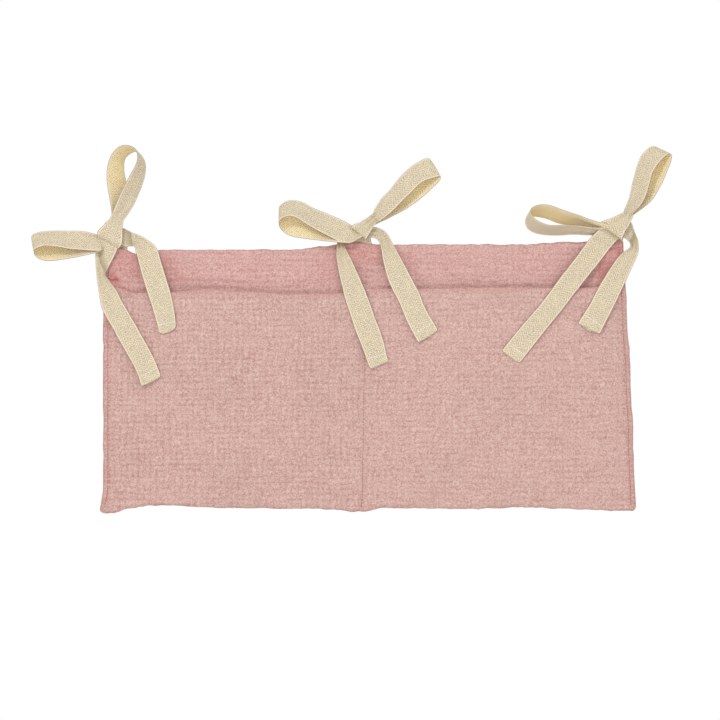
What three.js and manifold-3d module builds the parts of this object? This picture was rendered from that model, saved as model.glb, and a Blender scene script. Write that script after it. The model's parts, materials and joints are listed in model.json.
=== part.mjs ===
// Hanging two-pocket caddy of crinkled cotton muslin, with three tied bows of cotton tape.
// Millimetres, +Z up. X runs along the top edge, the front faces -Y, and the back lies at Y = 0.
// The origin is at the back, in the middle of the line along which the caddy hangs.

import * as THREE from 'three';
import { mergeVertices } from 'three/addons/utils/BufferGeometryUtils.js';
import Module from 'manifold-3d';

const wasm = await Module();
wasm.setup();

// Driving dimensions: the cloth body
const PANEL_WIDTH = 590;
const PANEL_HEIGHT = 288;
const MOUTH_DROP = 46.6;
const CLOTH_THICKNESS = 1.4;
const POCKET_GAPE = 13;
const HEM_WAVE_DEPTH = 3;
const SIDE_SEAM_INSET = 5.5;
const HEM_WAVES = 4;

// Driving dimensions: the tape and the bows
const TAPE_WIDTH = 24.5;
const TAPE_THICKNESS = 1.2;
const SEAM_HOLD = 12;
const ROOT_RISE = 11;
const KNOT_THICKNESS = 9;
const KNOT_ROUNDING = 3;
const HINGE_DEPTH = 8.4;
const TAIL_HEM = 12;

// Driving dimensions: each tail's length from its hinge line
const LEFT_BOW_LEFT_TAIL_LENGTH = 136;
const LEFT_BOW_RIGHT_TAIL_LENGTH = 92;
const MIDDLE_BOW_LEFT_TAIL_LENGTH = 134;
const MIDDLE_BOW_RIGHT_TAIL_LENGTH = 110;
const RIGHT_BOW_LEFT_TAIL_LENGTH = 160;
const RIGHT_BOW_RIGHT_TAIL_LENGTH = 98;

// Driving dimensions: the sewing thread
const THREAD_DIAMETER = 0.6;

// Clearances
const LAYER_GAP = 0.3;
const HINGE_GAP = 1;
const REST_GAP = 0.6;
const ROOT_SIDE_ROOM = 2;
const ROOT_RAMP = 12;
const CREST_ROOM = 2;
const SEAM_END_ROOM = 4;
const WELD_TOLERANCE = 0.0001;

// How finely the curved surfaces are divided
const ACROSS_COUNT = 24;
const DOWN_COUNT = 10;
const POCKET_DOWN_COUNT = 8;
const LOOP_COUNT = 30;
const TAIL_COUNT = 12;
const SHOULDER_COUNT = 6;
const THREAD_SIDES = 6;
const THREAD_COUNT = 12;

// Outline of the cloth body. Each row is a place along the edge, from left to right or from top to bottom,
// and then a share of half the width, of the height or of the mouth's drop.
const LEFT_EDGE_SHARES = [[0, 0.985], [0.25, 0.989], [0.9, 0.989], [1, 1.003]];
const RIGHT_EDGE_SHARES = [[0, 0.969], [0.25, 0.981], [0.5, 0.996], [0.75, 1.006], [1, 1.015]];
const TOP_EDGE_SHARES = [
  [0, 0], [0.03, 0.007], [0.06, -0.02], [0.11, -0.008], [0.37, -0.006], [0.43, 0.008],
  [0.48, 0.026], [0.53, 0.013], [0.8, 0.014], [0.89, 0.022], [1, 0.033],
];
const BOTTOM_EDGE_SHARES = [
  [0, 1.022], [0.025, 1.022], [0.055, 1.003], [0.1, 0.992], [0.25, 1.003], [0.4, 1.005],
  [0.49, 1.018], [0.53, 1.003], [0.7, 1.006], [0.79, 0.999], [0.87, 1.006], [1, 1.014],
];
const MOUTH_SHARES = [
  [0, 0.9], [0.02, 0.93], [0.06, 1.07], [0.13, 1.05], [0.2, 0.99], [0.28, 1.05], [0.36, 1.11],
  [0.45, 1.08], [0.5, 0.97], [0.57, 0.98], [0.76, 0.95], [0.91, 0.95], [1, 0.88],
];
const DIVIDER_SHARES = [[0, 0.499], [1, 0.488]];
const GAPE_SHARES = [[0, 0.82], [0.3, 1], [0.72, 0.72], [1, 0]];
const HEM_START_SHARE = 0.84;

// The tape's width where the loops leave the knot widens to the full width over this share of a loop.
const LOOP_OPENING_SHARE = 0.22;
const ROOT_SHOULDER_SHARE = 0.9;
const ROOT_WAIST_SHARE = 0.5;
const SHOULDER_DROP_SHARE = 0.2;

// The bows, in shares of the tape's width, right and up as seen from the front. tieShare alone is a share of
// half the panel's width. knotShares is the knot's place from the foot of the tie, and the rest is measured
// from the knot. A row of edgeShares is a loop's nearer edge, its farther edge and how far it stands forward.
// A row of shoulderShares is a place, a width and the turn of that width in degrees. A row of routeShares
// is a share of the tail's length, a place across the tail and a width.
const BOWS = {
  left_bow: {
    tieShare: -0.94,
    knotShares: [-0.31, 0.68],
    wrapShares: [[0.05, 0.68], [0.61, 0.52], [0.57, -0.59], [0.42, -0.64], [-0.11, -0.45], [-0.6, 0]],
    loops: {
      left: {
        neckShare: 0.85,
        edgeShares: [
          [-0.48, -0.82, -0.48, -0.09, 0.12], [-1.16, -0.78, -1.16, 0.08, 0.2],
          [-1.84, -0.73, -1.84, 0.1, 0.32], [-2.47, -0.62, -2.47, 0.11, 0.42],
          [-3.02, -0.6, -3.06, 0.07, 0.45], [-3.38, -0.74, -3.47, -0.06, 0.36],
          [-3.43, -0.91, -3.55, -0.27, 0.22], [-3.31, -1.11, -3.45, -0.48, 0.1],
          [-2.93, -1.26, -3.02, -0.59, 0.06], [-2.34, -1.24, -2.38, -0.54, 0.06],
          [-1.61, -1.12, -1.66, -0.45, 0.03], [-0.98, -0.98, -0.98, -0.36, -0.03],
          [-0.48, -0.88, -0.48, -0.32, -0.05],
        ],
      },
      right: {
        neckShare: 0.6,
        edgeShares: [
          [0.09, 0.5, 0.57, 0.32, 0.1], [0.14, 0.95, 0.79, 0.77, 0.15], [0.34, 1.45, 1.11, 1.27, 0.22],
          [0.61, 2.04, 1.38, 1.9, 0.3], [0.93, 2.63, 1.59, 2.49, 0.38], [1.2, 3.13, 1.66, 3.04, 0.42],
          [1.26, 3.49, 1.5, 3.45, 0.42], [1.16, 3.83, 1.2, 3.68, 0.38], [0.82, 4, 0.95, 3.59, 0.3],
          [0.41, 3.92, 0.75, 3.42, 0.2], [0.05, 3.49, 0.67, 3.15, 0.1], [-0.13, 2.86, 0.68, 2.77, 0.03],
          [-0.11, 2.18, 0.75, 2.31, -0.03], [-0.01, 1.59, 0.75, 1.77, -0.06],
          [0.07, 1.04, 0.61, 1.18, -0.08], [0.11, 0.54, 0.48, 0.63, -0.1],
        ],
      },
    },
    tails: {
      left: {
        length: LEFT_BOW_LEFT_TAIL_LENGTH, lean: 25, hingeShares: [-0.41, -1.77], crossesSeam: true,
        routeShares: [[0, 0, 0.45], [0.16, -0.1, 0.72], [0.3, -0.09, 0.92], [0.5, -0.06, 1], [1, 0, 1]],
        shoulderShares: [[-0.07, -0.3, 0.95, 0], [-0.27, -1.1, 0.75, 10], [-0.41, -1.77, 0.45, 25]],
      },
      right: {
        length: LEFT_BOW_RIGHT_TAIL_LENGTH, lean: 13.7, hingeShares: [1.73, -0.8],
        routeShares: [[0, 0, 0.95], [0.3, -0.02, 1], [0.6, 0.06, 1], [1, 0, 0.88]],
        shoulderShares: [
          [0.35, -0.1, 0.6, 100], [1.1, -0.27, 0.62, 62], [1.55, -0.5, 0.8, 34], [1.73, -0.8, 0.95, 13.7],
        ],
      },
    },
  },
  middle_bow: {
    tieShare: -0.02,
    knotShares: [0.1, 0.86],
    wrapShares: [
      [-0.53, 0.17], [-0.06, 0.34], [0.49, 0.53], [0.6, 0.17], [0.2, -0.33], [0.08, -0.42], [-0.3, -0.25],
    ],
    loops: {
      left: {
        neckShare: 0.85,
        edgeShares: [
          [-0.59, -0.59, -0.27, 0.05, 0.12], [-1.18, -0.47, -0.91, 0.39, 0.15],
          [-1.86, -0.18, -1.59, 0.68, 0.25], [-2.49, 0.16, -2.27, 0.96, 0.36],
          [-2.99, 0.49, -2.86, 1.26, 0.45], [-3.36, 0.59, -3.36, 1.3, 0.45],
          [-3.7, 0.45, -3.71, 1.09, 0.36], [-3.81, 0.27, -3.8, 0.77, 0.23],
          [-3.74, 0.02, -3.79, 0.59, 0.13], [-3.4, -0.26, -3.49, 0.43, 0.08],
          [-2.86, -0.41, -2.86, 0.32, 0.05], [-2.18, -0.5, -2.18, 0.14, 0.06],
          [-1.45, -0.59, -1.45, -0.05, 0.04], [-0.63, -0.63, -0.59, -0.14, -0.06],
        ],
      },
      right: {
        neckShare: 0.6,
        edgeShares: [
          [0.36, 0.14, 0.14, 0.45, 0.1], [0.77, 0.36, 0.5, 0.82, 0.15], [1.27, 0.75, 0.82, 1.36, 0.22],
          [1.77, 1.25, 1.22, 1.79, 0.3], [2.22, 1.69, 1.68, 2.36, 0.36], [2.65, 2.1, 2.18, 2.83, 0.38],
          [3.08, 2.28, 2.63, 3.11, 0.34], [3.4, 2.36, 2.95, 3.22, 0.27], [3.52, 2.38, 3.06, 3.11, 0.17],
          [3.47, 2.18, 3.04, 2.9, 0.07], [3.08, 1.79, 2.63, 2.54, 0], [2.59, 1.36, 2.09, 2.09, -0.03],
          [1.95, 0.91, 1.5, 1.54, -0.06], [1.22, 0.52, 0.91, 1.04, -0.1], [0.5, 0.18, 0.27, 0.59, -0.12],
        ],
      },
    },
    tails: {
      left: {
        length: MIDDLE_BOW_LEFT_TAIL_LENGTH, lean: 17.6, hingeShares: [-0.93, -0.96],
        routeShares: [[0, 0, 0.48], [0.1, -0.1, 0.68], [0.22, -0.1, 0.82], [0.36, -0.06, 0.96], [1, 0, 1]],
        shoulderShares: [[-0.2, -0.12, 0.7, 62], [-0.66, -0.33, 0.8, 45], [-0.93, -0.96, 0.48, 17.6]],
      },
      right: {
        length: MIDDLE_BOW_RIGHT_TAIL_LENGTH, lean: 24.6, hingeShares: [1.09, -0.75],
        routeShares: [[0, 0, 0.56], [0.17, -0.08, 0.8], [0.36, -0.1, 1], [1, 0, 1]],
        shoulderShares: [[0.3, -0.02, 0.4, 100], [0.84, -0.2, 0.45, 55], [1.09, -0.75, 0.56, 24.6]],
      },
    },
  },
  right_bow: {
    tieShare: 0.925,
    knotShares: [0.2, 0.91],
    wrapShares: [
      [-0.71, 0.27], [-0.41, 0.38], [0.04, 0.55], [0.71, 0.45], [0.68, -0.09], [0.64, -0.5],
      [0.3, -0.45], [-0.35, -0.05],
    ],
    loops: {
      left: {
        neckShare: 0.6,
        edgeShares: [
          [-0.45, 0.05, -0.59, -0.45, 0.22], [-1.09, 0.05, -1.18, -0.32, 0.22],
          [-1.81, 0.13, -1.86, -0.29, 0.22], [-2.54, 0.13, -2.54, -0.33, 0.27],
          [-3.08, 0.14, -3.13, -0.33, 0.35], [-3.51, 0.32, -3.67, -0.23, 0.42],
          [-3.76, 0.54, -4.01, -0.02, 0.42], [-3.86, 0.75, -4.11, 0.29, 0.36],
          [-3.79, 0.94, -4.01, 0.52, 0.26], [-3.45, 1.07, -3.7, 0.51, 0.17],
          [-2.99, 1.04, -3.17, 0.42, 0.1], [-2.4, 0.82, -2.54, 0.18, 0.06],
          [-1.72, 0.59, -1.77, 0.07, 0.05], [-1.09, 0.36, -1.09, -0.09, 0.04],
          [-0.45, 0.18, -0.45, -0.27, 0.03],
        ],
      },
      right: {
        neckShare: 0.6,
        edgeShares: [
          [0.54, 0.32, 0.09, 0.41, 0.1], [0.82, 0.68, 0.36, 0.77, 0.14], [1.16, 1.07, 0.57, 1.32, 0.2],
          [1.38, 1.5, 0.7, 1.86, 0.28], [1.52, 1.97, 0.82, 2.34, 0.35], [1.68, 2.52, 0.95, 2.83, 0.4],
          [1.95, 2.95, 1.18, 3.33, 0.42], [2.27, 3.27, 1.47, 3.63, 0.37], [2.48, 3.36, 1.7, 3.71, 0.27],
          [2.54, 3.15, 1.9, 3.56, 0.16], [2.34, 2.59, 1.72, 3.04, 0.08], [2.02, 1.9, 1.38, 2.36, 0.02],
          [1.61, 1.25, 1.04, 1.68, -0.03], [1.13, 0.84, 0.66, 1.13, -0.07], [0.63, 0.45, 0.23, 0.63, -0.1],
        ],
      },
    },
    tails: {
      left: {
        length: RIGHT_BOW_LEFT_TAIL_LENGTH, lean: -37.9, hingeShares: [-0.77, -0.75],
        routeShares: [[0, 0, 1], [0.4, 0.02, 1], [1, 0, 1]],
        shoulderShares: [[-0.18, -0.02, 0.95, -37.9], [-0.77, -0.75, 1, -37.9]],
      },
      right: {
        length: RIGHT_BOW_RIGHT_TAIL_LENGTH, lean: -28.5, hingeShares: [0.64, -1.1],
        routeShares: [[0, 0, 0.68], [0.14, 0, 0.92], [0.3, 0, 1], [1, 0, 1]],
        shoulderShares: [[0.5, -0.14, 0.4, -80], [0.82, -0.62, 0.4, -12], [0.64, -1.1, 0.68, -28.5]],
      },
    },
  },
};

const MUSLIN = { color: 0xd2aca4, roughness: 0.95, metalness: 0 };
const LINING = { color: 0xd6aca5, roughness: 0.95, metalness: 0 };
const TAPE = { color: 0xdfcfb0, roughness: 0.9, metalness: 0 };
const THREAD = { color: 0xb07f78, roughness: 0.8, metalness: 0 };
const TAPE_THREAD = { color: 0xe6dac2, roughness: 0.8, metalness: 0 };

const HALF_WIDTH = PANEL_WIDTH / 2;
const HALF_TAPE = TAPE_WIDTH / 2;
const SEAM_SHARE = SIDE_SEAM_INSET / PANEL_WIDTH;
const LINING_SEAT = CLOTH_THICKNESS + LAYER_GAP;
const LINING_FACE = LINING_SEAT + CLOTH_THICKNESS;
const POCKET_SEAT = LINING_FACE + LAYER_GAP;
const POCKET_THICKNESS = 2 * CLOTH_THICKNESS + LAYER_GAP;
const ROOT_THICKNESS = 2 * TAPE_THICKNESS;
const ROOT_LIFT = ROOT_THICKNESS + LAYER_GAP;
const ROOT_ROOM = HALF_TAPE + ROOT_SIDE_ROOM;
const KNOT_BACK = LINING_FACE + ROOT_LIFT + LAYER_GAP;
const KNOT_DEPTH = KNOT_BACK + KNOT_THICKNESS / 2;
const THREAD_RADIUS = THREAD_DIAMETER / 2;
const THREAD_SEAT = LAYER_GAP + THREAD_RADIUS;
const SEAM_LINE = (SEAM_HOLD + 2 * CREST_ROOM) / PANEL_HEIGHT;
const RAMP_LINE = SEAM_LINE + (2 * ROOT_RAMP) / PANEL_HEIGHT;

const lerp = THREE.MathUtils.lerp;
const clamp = THREE.MathUtils.clamp;
const degToRad = THREE.MathUtils.degToRad;
const smooth = (value, low, high) => THREE.MathUtils.smoothstep(value, low, high);

// Reads a table of shares at a place between its rows, easing from each row to the next.
function shareAt(table, place) {
  const last = table.length - 1;
  if (place <= table[0][0]) return table[0][1];
  if (place >= table[last][0]) return table[last][1];
  const next = table.findIndex((row) => row[0] > place);
  const [from, start] = table[next - 1];
  const [to, end] = table[next];
  return lerp(start, end, smooth(place, from, to));
}

// The cloth body's outline. across runs from 0 at the left edge to 1 at the right, and down from 0 at the
// top edge to 1 at the bottom.
const topZ = (across) => PANEL_HEIGHT * shareAt(TOP_EDGE_SHARES, across);
const bottomZ = (across) => -PANEL_HEIGHT * shareAt(BOTTOM_EDGE_SHARES, across);
const mouthZ = (across) => -MOUTH_DROP * shareAt(MOUTH_SHARES, across);
const heightAt = (across, down) => lerp(topZ(across), bottomZ(across), down);
const downAt = (across, z) => (topZ(across) - z) / (topZ(across) - bottomZ(across));
const leftX = (down) => -HALF_WIDTH * shareAt(LEFT_EDGE_SHARES, down);
const rightX = (down) => HALF_WIDTH * shareAt(RIGHT_EDGE_SHARES, down);
const acrossX = (across, down) => lerp(leftX(down), rightX(down), across);
const acrossAt = (x, down) => (x - leftX(down)) / (rightX(down) - leftX(down));

// How far the whole stack of cloth stands forward of the flat back: waves along the bottom edge.
function waveDepth(across, down) {
  const nearHem = smooth(down, HEM_START_SHARE, 1);
  const swing = (1 - Math.cos(2 * Math.PI * HEM_WAVES * across)) / 2;
  return HEM_WAVE_DEPTH * nearHem * swing;
}

const tieX = (bow) => HALF_WIDTH * bow.tieShare;

// How far the lining is lifted over the tape ends that are sewn into the top edge.
function rootLift(x, down) {
  const above = 1 - smooth(down, SEAM_LINE, RAMP_LINE);
  const lifts = Object.values(BOWS).map((bow) => {
    const away = Math.abs(x - tieX(bow));
    const beside = 1 - smooth(away, ROOT_ROOM, ROOT_ROOM + ROOT_RAMP);
    return ROOT_LIFT * beside * above;
  });
  return Math.max(...lifts);
}

// How far the pocket stands off the lining: nothing at the seams and the bottom, most in a pocket's middle.
function gapeDepth(across, sunk) {
  const divider = shareAt(DIVIDER_SHARES, sunk);
  const [from, to] = across < divider ? [SEAM_SHARE, divider] : [1 - SEAM_SHARE, divider];
  const inPocket = (across - from) / (to - from);
  const swell = Math.sin(Math.PI * clamp(inPocket, 0, 1));
  return POCKET_GAPE * swell * shareAt(GAPE_SHARES, sunk);
}

// A point on the body at a depth forward of the back.
function bodyPoint(across, z, depth) {
  const down = downAt(across, z);
  return [acrossX(across, down), -(waveDepth(across, down) + depth), z];
}

// The pocket's outer face, as a depth, at a place on the front.
function pocketFaceDepth(x, z) {
  const level = Math.min(z, mouthZ(acrossAt(x, 0)));
  const down = downAt(acrossAt(x, 0), level);
  const across = clamp(acrossAt(x, down), 0, 1);
  const sunk = (mouthZ(across) - level) / (mouthZ(across) - bottomZ(across));
  return waveDepth(across, down) + POCKET_SEAT + gapeDepth(across, sunk) + POCKET_THICKNESS;
}

// Turns a mesh's faces outward, by the sign of its volume.
function facingOut(geometry) {
  const points = geometry.attributes.position;
  const index = geometry.index.array;
  const corner = [new THREE.Vector3(), new THREE.Vector3(), new THREE.Vector3()];
  let volume = 0;
  for (let i = 0; i < index.length; i += 3) {
    corner.forEach((point, k) => point.fromBufferAttribute(points, index[i + k]));
    volume += corner[0].dot(corner[1].clone().cross(corner[2]));
  }
  if (volume < 0) {
    for (let i = 0; i < index.length; i += 3) {
      [index[i], index[i + 1]] = [index[i + 1], index[i]];
    }
  }
  return geometry;
}

// A closed sheet between two faces, each a grid of points given by row and column.
function slab(rows, columns, outside, inside) {
  const position = [];
  const index = [];
  const stride = columns + 1;
  const layerSize = (rows + 1) * stride;
  for (const face of [outside, inside]) {
    for (let i = 0; i <= rows; i += 1) {
      for (let j = 0; j <= columns; j += 1) position.push(...face(i, j));
    }
  }
  const out = (i, j) => i * stride + j;
  const back = (i, j) => layerSize + i * stride + j;
  const quad = (a, b, c, d) => index.push(a, b, c, a, c, d);
  for (let i = 0; i < rows; i += 1) {
    for (let j = 0; j < columns; j += 1) {
      quad(out(i, j), out(i + 1, j), out(i + 1, j + 1), out(i, j + 1));
      quad(back(i, j), back(i, j + 1), back(i + 1, j + 1), back(i + 1, j));
    }
    quad(out(i, 0), back(i, 0), back(i + 1, 0), out(i + 1, 0));
    quad(out(i, columns), out(i + 1, columns), back(i + 1, columns), back(i, columns));
  }
  for (let j = 0; j < columns; j += 1) {
    quad(out(0, j), out(0, j + 1), back(0, j + 1), back(0, j));
    quad(out(rows, j), back(rows, j), back(rows, j + 1), out(rows, j + 1));
  }
  const geometry = new THREE.BufferGeometry();
  geometry.setAttribute('position', new THREE.Float32BufferAttribute(position, 3));
  geometry.setIndex(index);
  return facingOut(geometry);
}

// Grid lines from 0 to 1: an even spread, with extra lines that replace the even ones near them.
function gridLines(count, extras) {
  const even = Array.from({ length: count + 1 }, (_, i) => i / count);
  const clear = (line) => extras.every((extra) => Math.abs(extra - line) > 1 / (3 * count));
  const kept = even.filter((line, i) => i === 0 || i === count || clear(line));
  return [...kept, ...extras].sort((a, b) => a - b);
}

// Booleans
function toManifold(geometry) {
  const bare = new THREE.BufferGeometry();
  bare.setAttribute('position', geometry.attributes.position.clone());
  if (geometry.index) bare.setIndex(geometry.index.clone());
  const merged = mergeVertices(bare, WELD_TOLERANCE);
  const mesh = new wasm.Mesh({
    numProp: 3,
    vertProperties: new Float32Array(merged.attributes.position.array),
    triVerts: new Uint32Array(merged.index.array),
  });
  return new wasm.Manifold(mesh);
}

// The largest body of a boolean's result, as a geometry.
function toGeometry(manifold) {
  const largest = manifold.decompose().sort((a, b) => b.volume() - a.volume())[0];
  const mesh = largest.getMesh();
  const geometry = new THREE.BufferGeometry();
  geometry.setAttribute('position', new THREE.BufferAttribute(new Float32Array(mesh.vertProperties), 3));
  geometry.setIndex(new THREE.BufferAttribute(new Uint32Array(mesh.triVerts), 1));
  return geometry;
}

const join = (geometries) => geometries.map(toManifold).reduce((whole, next) => whole.add(next));

// A length of tape along stations of { centre, across, half }, as thick as asked. The thickness lies square
// to the tape's run and to its width.
function tape(stations, thickness) {
  const offset = (i) => {
    const before = stations[Math.max(i - 1, 0)].centre;
    const after = stations[Math.min(i + 1, stations.length - 1)].centre;
    const run = after.clone().sub(before);
    return run.cross(stations[i].across).normalize().multiplyScalar(thickness / 2);
  };
  const face = (turn) => (i, j) => {
    const { centre, across, half } = stations[i];
    const edge = across.clone().multiplyScalar(half * (2 * j - 1));
    return centre.clone().add(edge).addScaledVector(offset(i), turn).toArray();
  };
  return slab(stations.length - 1, 1, face(1), face(-1));
}

// Smoothly resamples rows of numbers, through every row.
function resample(rows, count) {
  return Array.from({ length: count + 1 }, (_, i) => {
    const place = (i / count) * (rows.length - 1);
    const low = Math.min(Math.floor(place), rows.length - 2);
    const t = place - low;
    return rows[low].map((value, k) => {
      const before = (rows[low - 1] ?? rows[low])[k];
      const next = rows[low + 1][k];
      const after = (rows[low + 2] ?? rows[low + 1])[k];
      const slopeIn = (next - before) / 2;
      const slopeOut = (after - value) / 2;
      const rise = next - value;
      const square = 3 * rise - 2 * slopeIn - slopeOut;
      const cube = slopeIn + slopeOut - 2 * rise;
      return value + t * (slopeIn + t * (square + t * cube));
    });
  });
}

// Sewing thread along a list of points, as one unbroken strand.
function thread(points, steps) {
  const section = new THREE.Shape();
  section.absarc(0, 0, THREAD_RADIUS, 0, 2 * Math.PI);
  const curve = new THREE.CatmullRomCurve3(points, false, 'centripetal');
  return new THREE.ExtrudeGeometry(section, {
    steps, curveSegments: THREAD_SIDES, bevelEnabled: false, extrudePath: curve,
  });
}

const root = new THREE.Group();

function place(name, geometry, look) {
  const bare = new THREE.BufferGeometry();
  bare.setAttribute('position', geometry.attributes.position);
  if (geometry.index) bare.setIndex(geometry.index);
  const mesh = new THREE.Mesh(mergeVertices(bare, WELD_TOLERANCE), new THREE.MeshStandardMaterial(look));
  mesh.geometry.computeVertexNormals();
  mesh.name = name;
  root.add(mesh);
}

// The cloth body: the back, its lining and the folded pocket cloth

// A single layer of cloth over the whole body, seated at a depth given by place.
function clothLayer(acrossLines, downLines, seatDepth) {
  const face = (extra) => (i, j) => {
    const across = acrossLines[j];
    const down = downLines[i];
    const depth = seatDepth(acrossX(across, down), down) + extra;
    return bodyPoint(across, heightAt(across, down), depth);
  };
  return slab(downLines.length - 1, acrossLines.length - 1, face(CLOTH_THICKNESS), face(0));
}

function backPanel() {
  return clothLayer(gridLines(ACROSS_COUNT, []), gridLines(DOWN_COUNT, []), () => 0);
}

function backLining() {
  const steps = [-ROOT_ROOM - ROOT_RAMP, -ROOT_ROOM, ROOT_ROOM, ROOT_ROOM + ROOT_RAMP];
  const places = Object.values(BOWS).flatMap((bow) => steps.map((step) => acrossAt(tieX(bow) + step, 0)));
  const within = places.filter((line) => line > SEAM_SHARE && line < 1 - SEAM_SHARE);
  const acrossLines = gridLines(ACROSS_COUNT, within);
  const downLines = gridLines(DOWN_COUNT, [SEAM_LINE, RAMP_LINE]);
  return clothLayer(acrossLines, downLines, (x, down) => LINING_SEAT + rootLift(x, down));
}

// The pocket cloth is folded double at its mouth: its rows run up the inner layer and down the outer one.
// The outer face's two crest rows rise to the mouth line, and the inner face stays a cloth's thickness under.
function pocketPanel() {
  const lines = gridLines(ACROSS_COUNT, [SEAM_SHARE, 0.5, 1 - SEAM_SHARE]);
  const rows = POCKET_DOWN_COUNT;
  const foldGap = LAYER_GAP / 2;
  const face = (offset, crestRise) => (i, j) => {
    const inner = i <= rows;
    const sunk = (inner ? rows - i : i - rows - 1) / rows;
    const divider = shareAt(DIVIDER_SHARES, sunk);
    const across = lines[j] < 0.5 ? 2 * lines[j] * divider : lerp(divider, 1, 2 * lines[j] - 1);
    const rise = sunk === 0 ? crestRise : 0;
    const z = lerp(mouthZ(across), bottomZ(across), sunk) - CLOTH_THICKNESS + rise;
    const middle = POCKET_SEAT + gapeDepth(across, sunk) + POCKET_THICKNESS / 2;
    return bodyPoint(across, Math.max(z, bottomZ(across)), middle + (inner ? -offset : offset));
  };
  const outside = face(foldGap + CLOTH_THICKNESS, CLOTH_THICKNESS);
  return slab(2 * rows + 1, lines.length - 1, outside, face(foldGap, 0));
}

// A row of stitches that runs down the front from the top edge, or from the mouth alone.
function seamThread(acrossOf, fromTop) {
  const onPocket = POCKET_SEAT + POCKET_THICKNESS + THREAD_SEAT;
  const start = acrossOf(0);
  const mouth = mouthZ(start);
  const points = [];
  const add = (across, z, depth) => points.push(new THREE.Vector3(...bodyPoint(across, z, depth)));
  if (fromTop) {
    add(start, topZ(start) - SEAM_END_ROOM, LINING_FACE + ROOT_LIFT + THREAD_SEAT);
    add(start, mouth + CREST_ROOM, onPocket);
  }
  for (let i = 0; i <= THREAD_COUNT; i += 1) {
    const sunk = i / THREAD_COUNT;
    const across = acrossOf(sunk);
    add(across, lerp(mouth - CREST_ROOM, bottomZ(across) + SEAM_END_ROOM, sunk), onPocket);
  }
  return thread(points, 2 * THREAD_COUNT);
}

place('back_panel', backPanel(), MUSLIN);
place('back_lining', backLining(), LINING);
place('pocket_panel', pocketPanel(), MUSLIN);
place('left_side_stitching', seamThread(() => SEAM_SHARE, true), THREAD);
place('right_side_stitching', seamThread(() => 1 - SEAM_SHARE, true), THREAD);
place('divider_stitching', seamThread((sunk) => shareAt(DIVIDER_SHARES, sunk), false), THREAD);

// The bows

// The foot of the tie, and a way to place points in tape widths from the knot.
function bowPlaces(bow) {
  const [knotRight, knotUp] = bow.knotShares;
  const footX = tieX(bow);
  const knotX = footX + knotRight * TAPE_WIDTH;
  const at = (right, up, depth) => {
    return new THREE.Vector3(knotX + right * TAPE_WIDTH, -depth, (knotUp + up) * TAPE_WIDTH);
  };
  return { footX, knotX, at };
}

// The tie's two strands, laid together, from inside the top seam up to the back of the knot.
function tieRoot(bow) {
  const { footX, knotX } = bowPlaces(bow);
  const top = topZ(acrossAt(footX, 0)) + CREST_ROOM;
  const seat = LINING_SEAT + ROOT_THICKNESS / 2;
  const behindKnot = KNOT_BACK - LAYER_GAP - ROOT_THICKNESS / 2;
  const across = new THREE.Vector3(1, 0, 0);
  const foot = new THREE.Vector3(footX, -seat, top - SEAM_HOLD);
  const edge = new THREE.Vector3(footX, -seat, top);
  const rise = new THREE.Vector3((footX + knotX) / 2, -behindKnot, top + ROOT_RISE);
  const stations = [
    { centre: foot, across, half: HALF_TAPE },
    { centre: edge, across, half: ROOT_SHOULDER_SHARE * HALF_TAPE },
    { centre: rise, across, half: ROOT_WAIST_SHARE * HALF_TAPE },
  ];
  return tape(stations, ROOT_THICKNESS);
}

// The band of tape across the knot, as a rounded block of its outline, swollen by grow on every side.
function knotWrap(bow, grow) {
  const { at } = bowPlaces(bow);
  const outline = bow.wrapShares.map(([right, up]) => at(right, up, 0));
  const shape = new THREE.Shape(outline.map((point) => new THREE.Vector2(point.x, point.z)));
  const geometry = new THREE.ExtrudeGeometry(shape, {
    depth: KNOT_THICKNESS - 2 * KNOT_ROUNDING,
    bevelThickness: KNOT_ROUNDING + grow,
    bevelSize: KNOT_ROUNDING + grow,
    bevelOffset: -KNOT_ROUNDING,
    bevelSegments: 2,
    steps: 1,
  });
  geometry.rotateX(Math.PI / 2);
  geometry.translate(0, -KNOT_BACK - KNOT_ROUNDING, 0);
  return geometry;
}

// The tape between the knot and a tail's hinge line, swollen by grow.
function shoulder(bow, tail, grow) {
  const { at } = bowPlaces(bow);
  const stations = resample(tail.shoulderShares, SHOULDER_COUNT).map(([right, up, wide, turn], i) => {
    const dropped = smooth(i / SHOULDER_COUNT, SHOULDER_DROP_SHARE, 1);
    const across = new THREE.Vector3(Math.cos(degToRad(turn)), 0, Math.sin(degToRad(turn)));
    const centre = at(right, up, lerp(KNOT_DEPTH, HINGE_DEPTH, dropped));
    return { centre, across, half: wide * HALF_TAPE + grow };
  });
  return tape(stations, TAPE_THICKNESS + 2 * grow);
}

function knot(bow, grow) {
  const shoulders = [bow.tails.left, bow.tails.right].map((tail) => shoulder(bow, tail, grow));
  return join([knotWrap(bow, grow), ...shoulders]);
}

// A loop of the bow. Its edges are seen less than a tape's width apart, and what is missing between them is
// how much nearer one stands than the other.
function loop(bow, form) {
  const { at } = bowPlaces(bow);
  const rows = resample(form.edgeShares, LOOP_COUNT);
  const stations = rows.map(([nearRight, nearUp, farRight, farUp, forward], i) => {
    const fromNeck = Math.min(i, LOOP_COUNT - i) / LOOP_COUNT;
    const wide = TAPE_WIDTH * lerp(form.neckShare, 1, smooth(fromNeck, 0, LOOP_OPENING_SHARE));
    const depth = KNOT_DEPTH + forward * TAPE_WIDTH;
    const near = at(nearRight, nearUp, depth);
    const far = at(farRight, farUp, depth);
    const apart = Math.sqrt(Math.max(wide ** 2 - near.distanceToSquared(far), 0));
    near.y -= apart / 2;
    far.y += apart / 2;
    const across = far.clone().sub(near);
    return { centre: near.clone().lerp(far, 0.5), half: across.length() / 2, across: across.normalize() };
  });
  return toManifold(tape(stations, TAPE_THICKNESS));
}

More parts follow.
